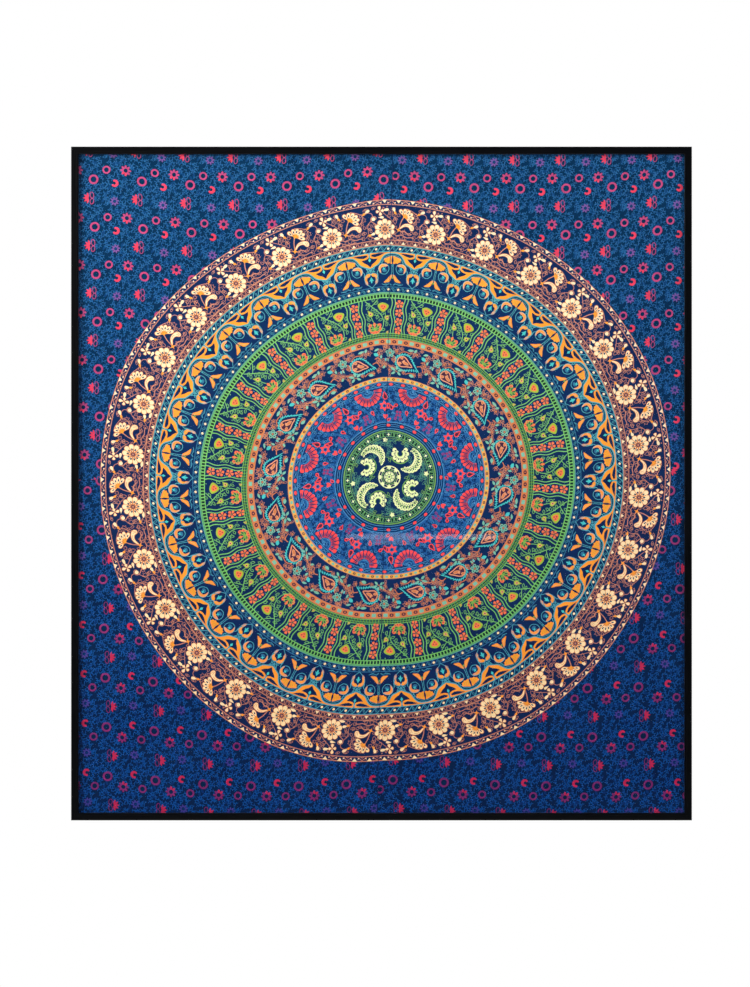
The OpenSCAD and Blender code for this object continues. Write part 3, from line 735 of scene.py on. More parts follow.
def drawRoseField():
    # twelve coral fans, stars and small blossoms over blue scrolls
    cell = {}
    fill(cell, "coralPink", 9, oval((0, 312.5), 7.2, 4.6, 0, 10))
    for side in (-1, 1):
        stroke(cell, "skyBlue", 8, smooth(mirrored(side, [(9, 315.5), (14, 315.5), (20.5, 312.5)]), False,
            2), 1.6)
        stroke(cell, "skyBlue", 8, smooth(mirrored(side, [(9, 309.5), (14, 309.5), (20.5, 312)]), False, 2),
               1.6)
    ringOf(cell, 48, 312.5, 2)

    cell, fan = {}, (0, 297)
    for i in range(10):
        angle = 186 + 168 * i / 9
        fill(cell, "coralPink", 9, shaped(((0, 0.62), (0.5, 0.78), (0.8, 1.0), (0.95, 0.7), (1, 0.3)),
            toward(fan, angle, 22), angle, 27, 15))
        fill(cell, "fieldNavy", 11, leaf(toward(fan, angle, 22), angle, 18, 3.2))
        fill(cell, "fieldNavy", 12, leaf(toward(fan, angle + 9.3, 20), angle + 9.3, 30, 4.6))
    stroke(cell, "skyBlue", 9, arc(fan, 18, 188, 352, 10), 2.0)
    stroke(cell, "skyBlue", 9, arc((0, 300), 10, 190, 350, 8), 1.8)
    fill(cell, "skyBlue", 9, oval((0, 299), 3.4, sides=8))
    ringOf(cell, 12, 297, 16.5)

    cell = {}
    fill(cell, "coralPink", 9, star((-2, 240), 19, 10.5, 6, 90))
    fill(cell, "fieldBlue", 11, star((-2, 240), 8.4, 5.4, 6, 90))
    fill(cell, "fieldNavy", 13, oval((-2, 240), 3, sides=6))
    for at, turn, long, wide in (((0, 288), -84, 26, 12), ((14, 247), -62, 21, 10), ((27, 236), 40, 16, 8),
                                 ((-42, 214), 110, 17, 8.5), ((20, 198), 210, 15, 8.5)):
        outlined(cell, "coralPink", 9, drop(at, turn, long, wide), 2.8, "brown")
    for angle in (45, 135, 225, 315):
        outlined(cell, "pinkInk", 9, oval(toward((47, 216), angle, 7.4), 4.0, sides=8), 1.4, "pinkInk")
    for x, y, turn in ((57, 200, 30), (38, 199, 60)):
        outlined(cell, "pinkInk", 9, oval((x, y), 5.4, 3.9, turn, 8), 2.2, "mauve")
    fill(cell, "coralPink", 9, smooth([(-2, 196), (-9, 206), (-7, 213), (-1, 209), (6, 212), (8, 204)],
        True, 2))
    ringOf(cell, 12, 230, -2.5)

    # navy scrolls and pale vines that cover the blue field, drawn once and repeated
    cell, luck = {}, random.Random(7)
    for row, radius in enumerate((193, 207, 221, 235, 249, 263, 277, 291, 304)):
        steps = round(radius * math.pi / 6 / 17)
        for i in range(steps):
            x = (i + 0.5 * (row % 2) + luck.uniform(-0.25, 0.25)) * 130 / steps - 65
            at, turn = (x, radius + luck.uniform(-3.5, 3.5)), luck.uniform(0, 360)
            hook = smooth([toward(at, turn, 9), at, toward(at, turn + 150, 6), toward(at, turn + 215, 10)],
                          False, 2)
            stroke(cell, "fieldNavy", 7, hook, luck.uniform(3.6, 5.0), taper=0.3)
            if luck.random() < 0.7:
                fill(cell, "fieldNavy", 6.5, leaf(toward(at, turn + 60, 2), turn + luck.uniform(40, 90), 13,
                    5.6))
            if luck.random() < 0.8:
                outlined(cell, "skyBlue", 7.5, leaf(toward(at, turn + 200, 4),
                    turn + luck.uniform(180, 260), 11, 5.4), 1.5, "fieldNavy")
    ringOf(cell, 12, 248, 0)

    for inner, outer in ((183.5, 186), (162, 164), (304, 306.2), (318.8, 320.6)):
        band("skyBlue", 9, inner, outer)
    cell = {}
    fill(cell, "coralPink", 9, oval((0, 174.5), 7.0, 4.7, 0, 10))
    for side in (-1, 1):
        stroke(cell, "skyBlue", 8, smooth(mirrored(side, [(8, 177.5), (14, 177), (22.8, 178)]), False, 2),
               1.6)
        stroke(cell, "skyBlue", 8, smooth(mirrored(side, [(8, 171), (14, 171.5), (22.8, 170.5)]), False, 2),
               1.6)
    ringOf(cell, 24, 174.5, 0)


def drawHeart():
    # the round centre: a windowed rosette, four feathered crescents and four daisies
    for inner, outer, ink in ((153.6, 157.2, "leafGreen"), (149.4, 150.8, "green"), (135.2, 136.8, "green"),
                              (130, 131.3, "leafGreen")):
        band(ink, 9, inner, outer, 120)
    cell = {}
    fill(cell, "creamGreen", 10, star((0, 143), 6.2, 2.9, 4, 90))
    for side in (-1, 1):
        fill(cell, "nightGreen", 8, mirrored(side, [(8, 138), (16, 138), (16.5, 148), (8, 148)]))
        stroke(cell, "green", 9, mirrored(side, [(7.5, 137), (9.5, 149)]), 1.5)
        stroke(cell, "green", 9, mirrored(side, [(18.5, 137), (16, 149)]), 1.5)
    ringOf(cell, 24, 143, 0)

    cell = {}
    ringPath = oval((0, 0), 33, sides=32)
    stroke(cell, "creamGreen", 9, ringPath, 10.5, closed=True)
    for i in range(8):
        angle = 22.5 + 45 * i
        fill(cell, "navyDark", 10, [toward((0, 0), angle + a, r) for a,
            r in ((-11, 29.2), (-11.5, 35.4), (11.5, 35.4), (11, 29.2))])
        fill(cell, "creamGreen", 11, leaf(toward((0, 0), angle + 22.5, 23), angle + 22.5, 9, 4))
    stroke(cell, "leafGreen", 9, oval((0, 0), 23.4, sides=24), 2.0, closed=True)
    petals(cell, "creamGreen", 10, (0, 0), 8, 6, 16, 9.5)
    fill(cell, "leafGreen", 11, oval((0, 0), 9.2, sides=16))
    fill(cell, "creamGreen", 12, oval((0, 0), 7.2, sides=14))
    fill(cell, "navyDark", 13, star((0, 0), 6.2, 2.2, 5))
    stroke(cell, "creamGreen", 9, oval((0, 0), 17.4, sides=20), 2.2, closed=True)
    addTo(mandala, cell)

    cell, hub, daisy = {}, (69, 56), (38, 78)
    for k in range(12):      # one crescent of seeded petals in two rows, thickest at its lower right
        angle = -128 + 17.8 * k
        inner = 25.5 - 12.5 * math.cos(math.radians(angle + 37))
        half = (43 - inner) / 2
        for turn, base, flip, wide in ((angle, 42 - half, 0, 12.8), (angle + 8, 44 - half, 180, 9.6)):
            fill(cell, "creamGreen", 9, drop(toward(hub, turn, base), turn + flip, half + 1, wide))
            fill(cell, "navyDark", 11,
                 oval(toward(hub, turn, base + (half * 0.6 if not flip else -half * 0.6)), 2.4, 1.3, turn, 6))
        stroke(cell, "leafGreen", 10, [toward(hub, angle - 5, 46 - half), toward(hub, angle, 40 - half),
            toward(hub, angle + 5, 46 - half)], 2.4)
    for k in range(8):
        angle = 145 + 250 * k / 7
        fill(cell, "creamGreen", 9, drop(toward(daisy, angle, 8), angle, 22, 14))
        fill(cell, "navyDark", 10, oval(toward(daisy, angle, 18.5), 3.6, 2.1, angle, 8))
    stroke(cell, "creamGreen", 9, arc(daisy, 12.5, 128, 412, 14), 6.5)
    stroke(cell, "leafGreen", 10, arc(daisy, 8.8, 130, 410, 12), 2.2)
    stroke(cell, "leafGreen", 8, arc(daisy, 33, 195, 330, 8), 3.4, taper=0.5)
    fill(cell, "creamGreen", 10, star((-12, 125), 9.5, 5.6, 5, 80))
    luck = random.Random(3)
    for k in range(58):      # thin leafy twigs that crowd the ground between them
        angle, out, turn = luck.uniform(0, 90), 42 + 86 * math.sqrt(luck.random()), luck.uniform(0, 360)
        x, y = toward((0, 0), angle, out)
        if 16 < math.hypot(x - hub[0], y - hub[1]) < 48 and (x > hub[0] or y < hub[1]):
            continue
        if math.hypot(x - daisy[0], y - daisy[1]) < 30:
            continue
        ink = ("green", "seaGreen", "leafGreen", "seaGreen")[k % 4]
        for bend, long in ((-38, 15), (34, 13)):
            outlined(cell, ink, 7, leaf((x, y), turn + bend, long, 6.2, 1), 1.3)
        stroke(cell, ink, 7, smooth([toward((x, y), turn + 170, 12), (x, y), toward((x, y), turn, 12)],
            False, 2), 1.5, taper=0.4)
    addTo(mandala, cell, [Matrix.Rotation(math.pi / 2 * k, 4, "Y") for k in range(4)])


def drawMandala():
    disc("navy", 5, rim)
    drawBorderBands()
    drawFlowerBorder()
    drawArches()
    drawGreenPanels()
    drawBeadBand(72, 445, 466.7, "orangeBrown", "tealPale")
    drawPaisleys()
    drawBeadBand(64, 321.5, 336.5, "amber", "tealPale")
    disc("fieldBlue", 5.5, 322, 180)
    band("fieldNavy", 6, 158, 185, 120)
    band("fieldNavy", 6, 306, 320, 160)
    drawRoseField()
    disc("navy", 6.5, 157.5, 120)
    drawHeart()


tile = {
    "across": (163, -2),      # one repeat, to the next blossom on the right and to the one below
    "down": (4, -160),
    "twigs": 14.2,            # spacing of the vine twigs
}
quarters = (                  # side, upper or lower, one blossom, and how that quarter's repeats step
    (-1, 1, (-655, 950), (161, 0), (4, -158)),
    (1, 1, (438, 919), (153, -5), (-2, -154.5)),
    (-1, -1, (-576, -914), (159, -3), (4, -164)),
    (1, -1, (554, -947), (170, -9.5), (16, -164)),
)


def drawTile():
    # one repeat of the small blossom print: half flowers, rings and stars over leafy vines
    cell, luck = {}, random.Random(21)
    for i in range(5):        # coral half daisy and two pink loops
        fill(cell, "coralRed", 5, leaf((1, 0), 102 + 39 * i, 19, 7))
    for y, long, turn in ((9.5, 10.5, 100), (-11, 9.5, 82)):
        stroke(cell, "pinkInk", 4, oval((12.5, y), long, 6, turn, 12), 2.2, closed=True)
    pale = (88, -11)
    for i in range(8):
        fill(cell, "mauve", 3, leaf(toward(pale, 45 * i + 10, 4.5), 45 * i + 10, 11.5, 6))
    stroke(cell, "mauve", 3, oval(pale, 7.5, sides=12), 3.2, closed=True)
    for at, radius, wide in (((65, -64), 10.8, 5.6), ((22, -96), 13.2, 6.4)):
        stroke(cell, "pinkInk", 4, oval(at, radius, sides=14), wide, closed=True)
    bloom = (129, -65)
    for i in range(8):
        fill(cell, "coralRed" if i in (5, 6) else "pinkInk", 5 if i in (5, 6) else 4,
             leaf(toward(bloom, 45 * i, 6.5), 45 * i, 12.5, 8))
    stroke(cell, "pinkInk", 4, oval(bloom, 9, sides=12), 4.0, closed=True)
    stroke(cell, "coralRed", 5, arc((92, -109), 8.8, -150, 118, 10), 8.6, taper=0.35)

    spots = [((2, 0), 18), (pale, 16), ((65, -64), 14), ((22, -96), 18), (bloom, 18), ((92, -109), 15)]
    ax, ay = tile["across"]
    bx, by = tile["down"]
    keepOff = [((x + i * ax + j * bx, y + i * ay + j * by), r) for (x, y),
               r in spots for i in (-1, 0, 1) for j in (-1, 0, 1)]
    rows, columns = round(-by / tile["twigs"]), round(ax / tile["twigs"])
    for row in range(rows):
        for column in range(columns):
            u, v = (column + luck.uniform(0.1, 0.9)) / columns, (row + luck.uniform(0.1, 0.9)) / rows
            at = (u * ax + v * bx, u * ay + v * by)
            near = min(math.hypot(at[0] - x, at[1] - y) - r for (x, y), r in keepOff)
            if near < -3:
                continue
            turn = luck.uniform(0, 360)
            stem = smooth([toward(at, turn + 180, 8), at, toward(at, turn + luck.uniform(-40, 40), 8)],
                          False, 2)
            stroke(cell, "vine", 2, stem, 1.5)
            for k in range(4):
                foot = stem[k + 1]
                side = turn + (55 if k % 2 else -55) + luck.uniform(-20, 20)
                fill(cell, "vine", 2, shaped(((0, 0), (0.3, 0.9), (0.68, 0.8), (1, 0)), foot, side,
                    luck.uniform(5.5, 8), 2.9))
            if luck.random() < 0.45:
                fill(cell, "vineDeep", 1, leaf(toward(at, turn + 90, 3), turn + luck.uniform(60, 120), 19, 9))
    return cell


slack = {"dip": 23, "deepest": 430, "left": -870, "climb": 28, "climbReach": 857, "right": 930}


def sag(co):
    # the print dips halfway between the left edge and the seam, and climbs towards the right edge
    x = co[:, 0]
    dip = slack["dip"] * ((np.maximum(x,
        slack["left"]) + slack["deepest"]) / slack["deepest"]) ** 2 - slack["dip"]
    climb = slack["climb"] * (np.minimum(x, slack["right"]) / slack["climbReach"]) ** 3
    co[:, 2] += np.where(x < 0, dip, climb)


def moved(mesh, *changes):
    co = np.empty(len(mesh.vertices) * 3, np.float32)
    mesh.vertices.foreach_get("co", co)
    co = co.reshape(-1, 3)
    for change in changes:
        change(co)
    mesh.vertices.foreach_set("co", co.ravel())
    mesh.update()


def trim(screen, at, facing):
    bmesh.ops.bisect_plane(screen, geom=screen.verts[:] + screen.edges[:] + screen.faces[:], plane_co=at,
                           plane_no=facing, clear_outer=True)


meet = {
    "rim": 1.5,              # bare cloth left at the panel's edges
    "halves": 12,            # height at which the upper and lower halves meet
    "seam": (11.5, 0.024),   # where the seam crosses the middle, and how far it leans
    "tileMiddle": (84, -80),
    "beyond": (110, 150),    # a tile whose middle is further out than this is left out
    "hidden": 760,           # nearer the centre than this a tile lies under the rings
    "covered": 905,          # and so does a face
}


def drawField():
    # upper half upright, lower half printed turned round, each quarter stretched in its own way
    wide, tall = [size / 2 / mm - meet["rim"] for size in (panelRight - panelLeft, panelTop - panelBottom)]
    tileX, tileY = meet["tileMiddle"]
    overX, overY = meet["beyond"]
    halves, (seamX, lean) = meet["halves"], meet["seam"]
    for ink, screen in drawTile().items():
        stencil = stencilOf(screen)
        for side, upper, first, across, down in quarters:
            quarter = bmesh.new()
            for i in range(-9, 10):
                for j in range(-9, 10):
                    x = first[0] + i * across[0] + j * down[0]
                    y = first[1] + i * across[1] + j * down[1]
                    cx, cy = x + tileX * upper, y + tileY * upper
                    if abs(cx) > wide + overX or abs(cy) > tall + overY:
                        continue
                    if side * cx < -overX or upper * (cy - halves) < -overX:
                        continue
                    if math.hypot(cx - 10, cy - 12) < meet["hidden"]:
                        continue
                    copy = stencil.copy()
                    copy.transform(Matrix.Translation((x, 0,
                        y)) @ Matrix.Rotation(0 if upper > 0 else math.pi, 4, "Y"))
                    quarter.from_mesh(copy)
                    bpy.data.meshes.remove(copy)
            trim(quarter, (0, 0, halves), (0, 0, -upper))
            trim(quarter, (seamX, 0, 0), (-side, 0, lean * side))
            joined = bpy.data.meshes.new("quarter")
            quarter.to_mesh(joined)
            quarter.free()
            moved(joined, sag)
            quarter = bmesh.new()
            quarter.from_mesh(joined)
            trim(quarter, (side * wide, 0, 0), (side, 0, 0))
            trim(quarter, (0, 0, upper * tall), (0, 0, upper))
            under = [f for f in quarter.faces
                     if max(math.hypot(v.co.x - 10, v.co.z - 10) for v in f.verts) < meet["covered"]]
            bmesh.ops.delete(quarter, geom=under, context="FACES")
            quarter.to_mesh(joined)
            quarter.free()
            screenOf(field, ink).from_mesh(joined)
            bpy.data.meshes.remove(joined)
        bpy.data.meshes.remove(stencil)


inks = {                    # ink: colour at the top of the cloth, colour at its foot; the blend between them is painted light and shade, lighter at the top and darker towards the foot
    "navy": ("#0a2a58", "#081c48"),
    "navyDark": ("#0a2350", "#081a44"),
    "fieldBlue": ("#265f96", "#1b508c"),
    "fieldNavy": ("#0c3262", "#0a2656"),
    "nightGreen": ("#0c2a26", None),
    "brownBand": ("#4c2c44", "#3c2038"),
    "brown": ("#46203a", None),
    "vineDeep": ("#0b3a68", "#02265c"),
    "vine": ("#275f90", "#054389"),
    "skyBlue": ("#5596bd", "#3f7fb4"),
    "blueGreen": ("#34748e", "#2a6088"),
    "teal": ("#58a8ac", "#3f8ca0"),
    "brightTeal": ("#50c3be", "#3eb0b4"),
    "tealPale": ("#84c0a4", "#6aa894"),
    "leafGreen": ("#7fb04c", "#6f9f40"),
    "green": ("#84c46c", "#6cae56"),
    "seaGreen": ("#58947c", "#43806a"),
    "yellowGreen": ("#a3bd3c", "#8fa830"),
    "creamGreen": ("#ebf0b4", "#dfe6a0"),
    "amber": ("#f0b450", "#dc9c40"),
    "orange": ("#faa032", "#e88c28"),
    "orangeBrown": ("#d8824a", "#c6703e"),
    "peach": ("#eba57d", "#d88c66"),
    "pinkBrown": ("#cc8a6c", "#b8745a"),
    "coral": ("#f27e4a", "#e06a40"),
    "coralRed": ("#dc4058", "#a81e46"),
    "coralPink": ("#f8564c", "#e84244"),
    "pinkInk": ("#b24672", "#6c205c"),
    "mauve": ("#745090", "#38307c"),
    "cream": ("#fae2b4", "#f0d09c"),
}


def eccentric(co):
    # the rings drift towards the upper right as they get smaller, the cloth is pulled a little out of round,
    # and no hand print is quite true
    x, z = co[:, 0].copy(), co[:, 2].copy()
    out, angle = np.hypot(x, z) / rim, np.arctan2(z, x)
    left, right = np.clip(-x / 150, 0, 1), np.clip(x / 400, 0, 1)
    swell = out * (1.6 * np.sin(3 * angle + 1) + 0.9 * np.sin(7 * angle + 2.3))
    pull = left * (9 - 13 * out - 10 * (x / rim) ** 2) + right * (16 * (x / rim) ** 2 - 13 * z / rim)
    co[:, 0] = x + swell * np.cos(angle) + 26 - 16 * out + pull
    co[:, 1] -= 0.28                    # the rings are printed over the field
    co[:, 2] = z + swell * np.sin(angle) + 22 - 10 * out


def onCloth(co):
    co *= mm
    co += np.array((middle.x, clothFront, middle.z), np.float32)


def meshObject(shape, name, material):
    mesh = bpy.data.meshes.new(name)
    shape.to_mesh(mesh)
    shape.free()
    mesh.materials.append(material)
    made = bpy.data.objects.new(name, mesh)
    bpy.context.collection.objects.link(made)
    return made


def cottonPiece(shape, name, material):
    # rides with the frame, on the printed cotton
    piece = meshObject(shape, name, material)
    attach(piece, "frame")
    return piece


def printCloth():
    drawMandala()
    print("mandala drawn")
    drawField()
    print("field drawn")
    pieces = []
    for ink, (colour, foot) in inks.items():
        flat = bmesh.new()
        for store, changes in ((field, (onCloth,)), (mandala, (eccentric, sag, onCloth))):
            if ink not in store:
                continue
            mesh = bpy.data.meshes.new("screen")
            store[ink].to_mesh(mesh)
            moved(mesh, *changes)
            flat.from_mesh(mesh)
            bpy.data.meshes.remove(mesh)
        if not flat.faces:
            flat.free()
            continue
        # each ink's foot colour is painted shade, darker towards the bottom of the cloth
        piece = cottonPiece(flat, "print_" + ink, wovenCotton("pigmentOnCotton_" + ink, colour, foot))
        pieces.append(piece)
        print(" ", piece.name, len(piece.data.polygons), "faces")
    return pieces


def makeCloth():
    # stretched front, sides turned round the stretcher frame, hems lying on its back
    sheet = bmesh.new()
    bmesh.ops.create_grid(sheet, x_segments=1, y_segments=1, size=0.5)
    wide, tall = panelRight - panelLeft, panelTop - panelBottom
    bmesh.ops.scale(sheet, vec=(wide, tall, 1), verts=sheet.verts[:])
    bmesh.ops.rotate(sheet, verts=sheet.verts[:], matrix=Matrix.Rotation(math.pi / 2, 3, "X"))
    bmesh.ops.translate(sheet, verts=sheet.verts[:], vec=((panelLeft + panelRight) / 2, clothLow[1],
                                                          (panelBottom + panelTop) / 2))
    outer = [e for e in sheet.edges if e.is_boundary]
    turned = bmesh.ops.extrude_edge_only(sheet, edges=outer)["geom"]
    corners = [v for v in turned if isinstance(v, bmesh.types.BMVert)]
    bmesh.ops.translate(sheet, verts=corners, vec=(0, clothHigh[1] - clothLow[1], 0))
    outer = [e for e in turned if isinstance(e, bmesh.types.BMEdge)]
    hem = bmesh.ops.extrude_edge_only(sheet, edges=outer)["geom"]
    for v in [v for v in hem if isinstance(v, bmesh.types.BMVert)]:
        v.co.x -= math.copysign(cut["hemSide"] * mm, v.co.x - middle.x)
        v.co.z -= math.copysign(cut["hemEnd"] * mm, v.co.z - middle.z)
    bmesh.ops.recalc_face_normals(sheet, faces=sheet.faces[:])
    if min(sheet.faces, key=lambda f: f.calc_center_median().y).normal.y > 0:
        bmesh.ops.reverse_faces(sheet, faces=sheet.faces[:])
    bmesh.ops.bevel(sheet, geom=[e for e in sheet.edges if len(e.link_faces) == 2], offset=1.6 * mm,
                    segments=3,
                    profile=0.5, affect="EDGES", material=-1)
    bmesh.ops.solidify(sheet, geom=sheet.faces[:], thickness=cut["thick"] * mm)
    # the navy blends darker towards the foot: painted shade
    cloth = cottonPiece(sheet, "tapestry_cloth", wovenCotton("dyedCotton_navy", "#00294a", "#00183e"))
    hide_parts("cloth_left", "cloth_right")
    return cloth


seam = {
    "lip": 1.3, "proud": 1.0,                    # width and height of each lip
    "stitch": 4.5, "thread": (1.1, 0.6, 2.6),    # distance between stitches, and the size of one
    "top": 38, "foot": -15,                      # how far right of the middle it starts and ends
}


def makeSeam():
    # the two widths of cloth meet in a run-and-fell seam: two low lips, with a line of stitches between them
    low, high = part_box("centre_seam")
    ridge = bmesh.new()
    for side in (-1, 1):
        outline = [(0.1, 0), (0.35, 0.7), (0.75, 1.0), (1.1, 0.8), (1.3, 0)]
        verts = [ridge.verts.new((side * a * seam["lip"] * mm, -b * seam["proud"] * mm, 0)) for a,
                 b in outline]
        edges = [ridge.edges.new(pair) for pair in zip(verts, verts[1:])]
        ends = bmesh.ops.extrude_edge_only(ridge, edges=edges)["geom"]
        bmesh.ops.translate(ridge, verts=[v for v in ends if isinstance(v, bmesh.types.BMVert)],
                            vec=(0, 0, 1))
    bmesh.ops.recalc_face_normals(ridge, faces=ridge.faces[:])
    for f in ridge.faces:
        if f.normal.y > 0:
            f.normal_flip()
    count = int((high[2] - low[2]) / (seam["stitch"] * mm))
    for k in range(count):
        loop = bmesh.ops.create_icosphere(ridge, subdivisions=1, radius=0.5)["verts"]
        bmesh.ops.scale(ridge, vec=[size * mm for size in seam["thread"]], verts=loop)
        bmesh.ops.translate(ridge, vec=(0, -0.00055, 0), verts=loop)
        for v in loop:   # stitches are placed in metres along a unit seam
            v.co.z = (k + 0.5) / count + v.co.z / (high[2] - low[2])
    for v in ridge.verts:
        z = low[2] + v.co.z * (high[2] - low[2])
        share = (z - bottomLow[2]) / (railHigh[2] - bottomLow[2])
        v.co.x += (seam["foot"] + (seam["top"] - seam["foot"]) * share) * mm
        v.co.y += clothFront
        v.co.z = z
    # painted shade: the welt's thread valleys are darkened twice as much as the cloth's, and its colour runs
    # darker towards the foot
    welt = cottonPiece(ridge, "seam_welt", wovenCotton("seamedCotton_navy", "#082c58", "#061e48", 0.4))
    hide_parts("centre_seam")
    return welt


# straight on, a little left of and below the middle of the frame
view = {"distance": 5500, "left": 21.6, "below": 33.2, "covers": 3279.2}
cameraData = bpy.data.cameras.new("camera")
cameraData.sensor_width = 36
cameraData.lens = 36 * view["distance"] / view["covers"]
cameraData.clip_end = 60
camera = bpy.data.objects.new("camera", cameraData)
bpy.context.collection.objects.link(camera)
camera.location = (middle.x - view["left"] * mm, middle.y - view["distance"] * mm,
                   middle.z - view["below"] * mm)
camera.rotation_euler = (math.pi / 2, 0, 0)
bpy.context.scene.camera = camera

cloth = makeCloth()
welt = makeSeam()
prints = printCloth()
print("cloth printed:", len(prints), "inks")


def blackLacquer(name, along):
    # Black lacquer brushed on close-grained hardwood: satin, grain just telegraphing through, faint rub marks
    material, tree, shader, place = newMaterial(name)
    lay = (1, 16, 16) if along == "X" else (16, 16, 1)
    grain = speckle(tree, place, 40, 6, lay)
    brush = speckle(tree, place, 90, 3, tuple(c * 2.5 if c > 1 else c for c in lay))
    rubbed = speckle(tree, place, 160, 5)
    colour = mixColours(tree, spread(tree, grain, 0, 1), linear("#030406"), linear("#07080c"))
    colour = mixColours(tree, spread(tree, rubbed, 0, 0.35, 0.55, 0.75), colour, linear("#101116"))
    tree.links.new(colour, shader.inputs["Base Color"])
    tree.links.new(spread(tree, brush, 0.26, 0.4), shader.inputs["Roughness"])
    shader.inputs["Specular IOR Level"].default_value = 0.12
    shader.inputs["Coat Weight"].default_value = 0.03
    shader.inputs["Coat Roughness"].default_value = 0.15
    addBump(tree, shader, grain, 0.06, 0.5)
    return material


def clearAcrylic():
    # Cast acrylic sheet, polished: clear, IOR 1.49, with a faint haze; light reaches the cloth through it
    material, tree, shader, place = newMaterial("clearAcrylic_polished")
    shader.inputs["Base Color"].default_value = linear("#fafdff")
    shader.inputs["Transmission Weight"].default_value = 1.0
    shader.inputs["IOR"].default_value = 1.49
    tree.links.new(spread(tree, speckle(tree, place, 120), 0.0, 0.03), shader.inputs["Roughness"])
    through = addNode(tree, "ShaderNodeBsdfTransparent").outputs[0]
    shadow = addNode(tree, "ShaderNodeLightPath").outputs["Is Shadow Ray"]
    mix = addNode(tree, "ShaderNodeMixShader", {0: shadow, 1: shader.outputs[0], 2: through}).outputs[0]
    output = next(n for n in tree.nodes if n.type == "OUTPUT_MATERIAL")
    tree.links.new(mix, output.inputs["Surface"])
    return material


def wood(name, pale, dark, along, grainWidth, roughness=0.6, ply=None):
    # Sawn timber or veneer: growth rings drawn out along the piece, open pores, a little fuzz left by the saw
    material, tree, shader, place = newMaterial(name)
    stretch = {"X": (0.045, 1, 1), "Z": (1, 1, 0.045)}[along]
    drawn = addNode(tree, "ShaderNodeMapping", {"Vector": place, "Scale": stretch}).outputs[0]
    bent = speckle(tree, drawn, grainWidth * 5, 3)
    shift = addNode(tree, "ShaderNodeVectorMath", {0: drawn, 1: bent}, operation="ADD").outputs[0]
    figure = speckle(tree, shift, grainWidth, 5)
    pores = speckle(tree, drawn, 1.6, 2)
    colour = mixColours(tree, spread(tree, figure, 0, 1), linear(pale), linear(dark))
    colour = mixColours(tree, spread(tree, pores, 0, 0.3, 0.55, 0.75), colour, linear(dark))
    if ply:
        layers = addNode(tree, "ShaderNodeTexWave", {"Vector": place, "Scale": waveScale(ply)},
                         bands_direction="Y")
        colour = mixColours(tree, spread(tree, layers.outputs["Fac"], 0, 0.35), colour, linear(dark))
    tree.links.new(colour, shader.inputs["Base Color"])
    tree.links.new(spread(tree, figure, roughness - 0.08, roughness + 0.1), shader.inputs["Roughness"])
    addBump(tree, shader, pores, 0.15, 0.5)
    return material


def fibreBoard(name, face, fleck, fibre, roughness, relief):
    # Pressed fibre or paper-faced board: matted fibres, tiny flecks, scuffed unevenly
    material, tree, shader, place = newMaterial(name)
    matted = speckle(tree, place, fibre, 6, None, 0.7)
    blotch = speckle(tree, place, 140, 4)
    colour = mixColours(tree, spread(tree, matted, 0, 1), linear(face), linear(fleck))
    colour = mixColours(tree, spread(tree, blotch, 0, 0.3), colour, linear(fleck))
    tree.links.new(colour, shader.inputs["Base Color"])
    tree.links.new(spread(tree, matted, roughness - 0.06, roughness + 0.08), shader.inputs["Roughness"])
    addBump(tree, shader, matted, relief, 0.5)
    return material


def metal(name, bright, dull, roughness, along=None, tarnish=0.4, grit=0.8):
    # Plated, brushed or extruded metal: streaks along the working direction and patches dulled by handling
    material, tree, shader, place = newMaterial(name)
    streaks = speckle(tree, place, grit, 3, {"X": (0.03, 1, 1), "Z": (1, 1, 0.03), None: (1, 1, 1)}[along])
    patches = speckle(tree, place, 18, 5)
    colour = mixColours(tree, spread(tree, patches, 0, tarnish), linear(bright), linear(dull))
    colour = mixColours(tree, spread(tree, streaks, 0, 0.25), colour, linear(dull))
    tree.links.new(colour, shader.inputs["Base Color"])
    shader.inputs["Metallic"].default_value = 1.0
    tree.links.new(spread(tree, streaks, roughness - 0.08, roughness + 0.12), shader.inputs["Roughness"])
    addBump(tree, shader, streaks, 0.02, 0.4)
    return material


def moulded(name, hexColour, roughness, grit, relief):
    # Moulded rubber or extruded plastic: even colour with a fine matt texture and dusty high spots
    material, tree, shader, place = newMaterial(name)
    grain = speckle(tree, place, grit, 4)
    dust = speckle(tree, place, 30, 4)
    full = linear(hexColour)
    colour = mixColours(tree, spread(tree, dust, 0, 0.35, 0.5, 0.8), full, (*[c + 0.03 for c in full[:3]], 1))
    tree.links.new(colour, shader.inputs["Base Color"])
    tree.links.new(spread(tree, grain, roughness - 0.08, roughness + 0.08), shader.inputs["Roughness"])
    addBump(tree, shader, grain, relief, 0.6)
    return material


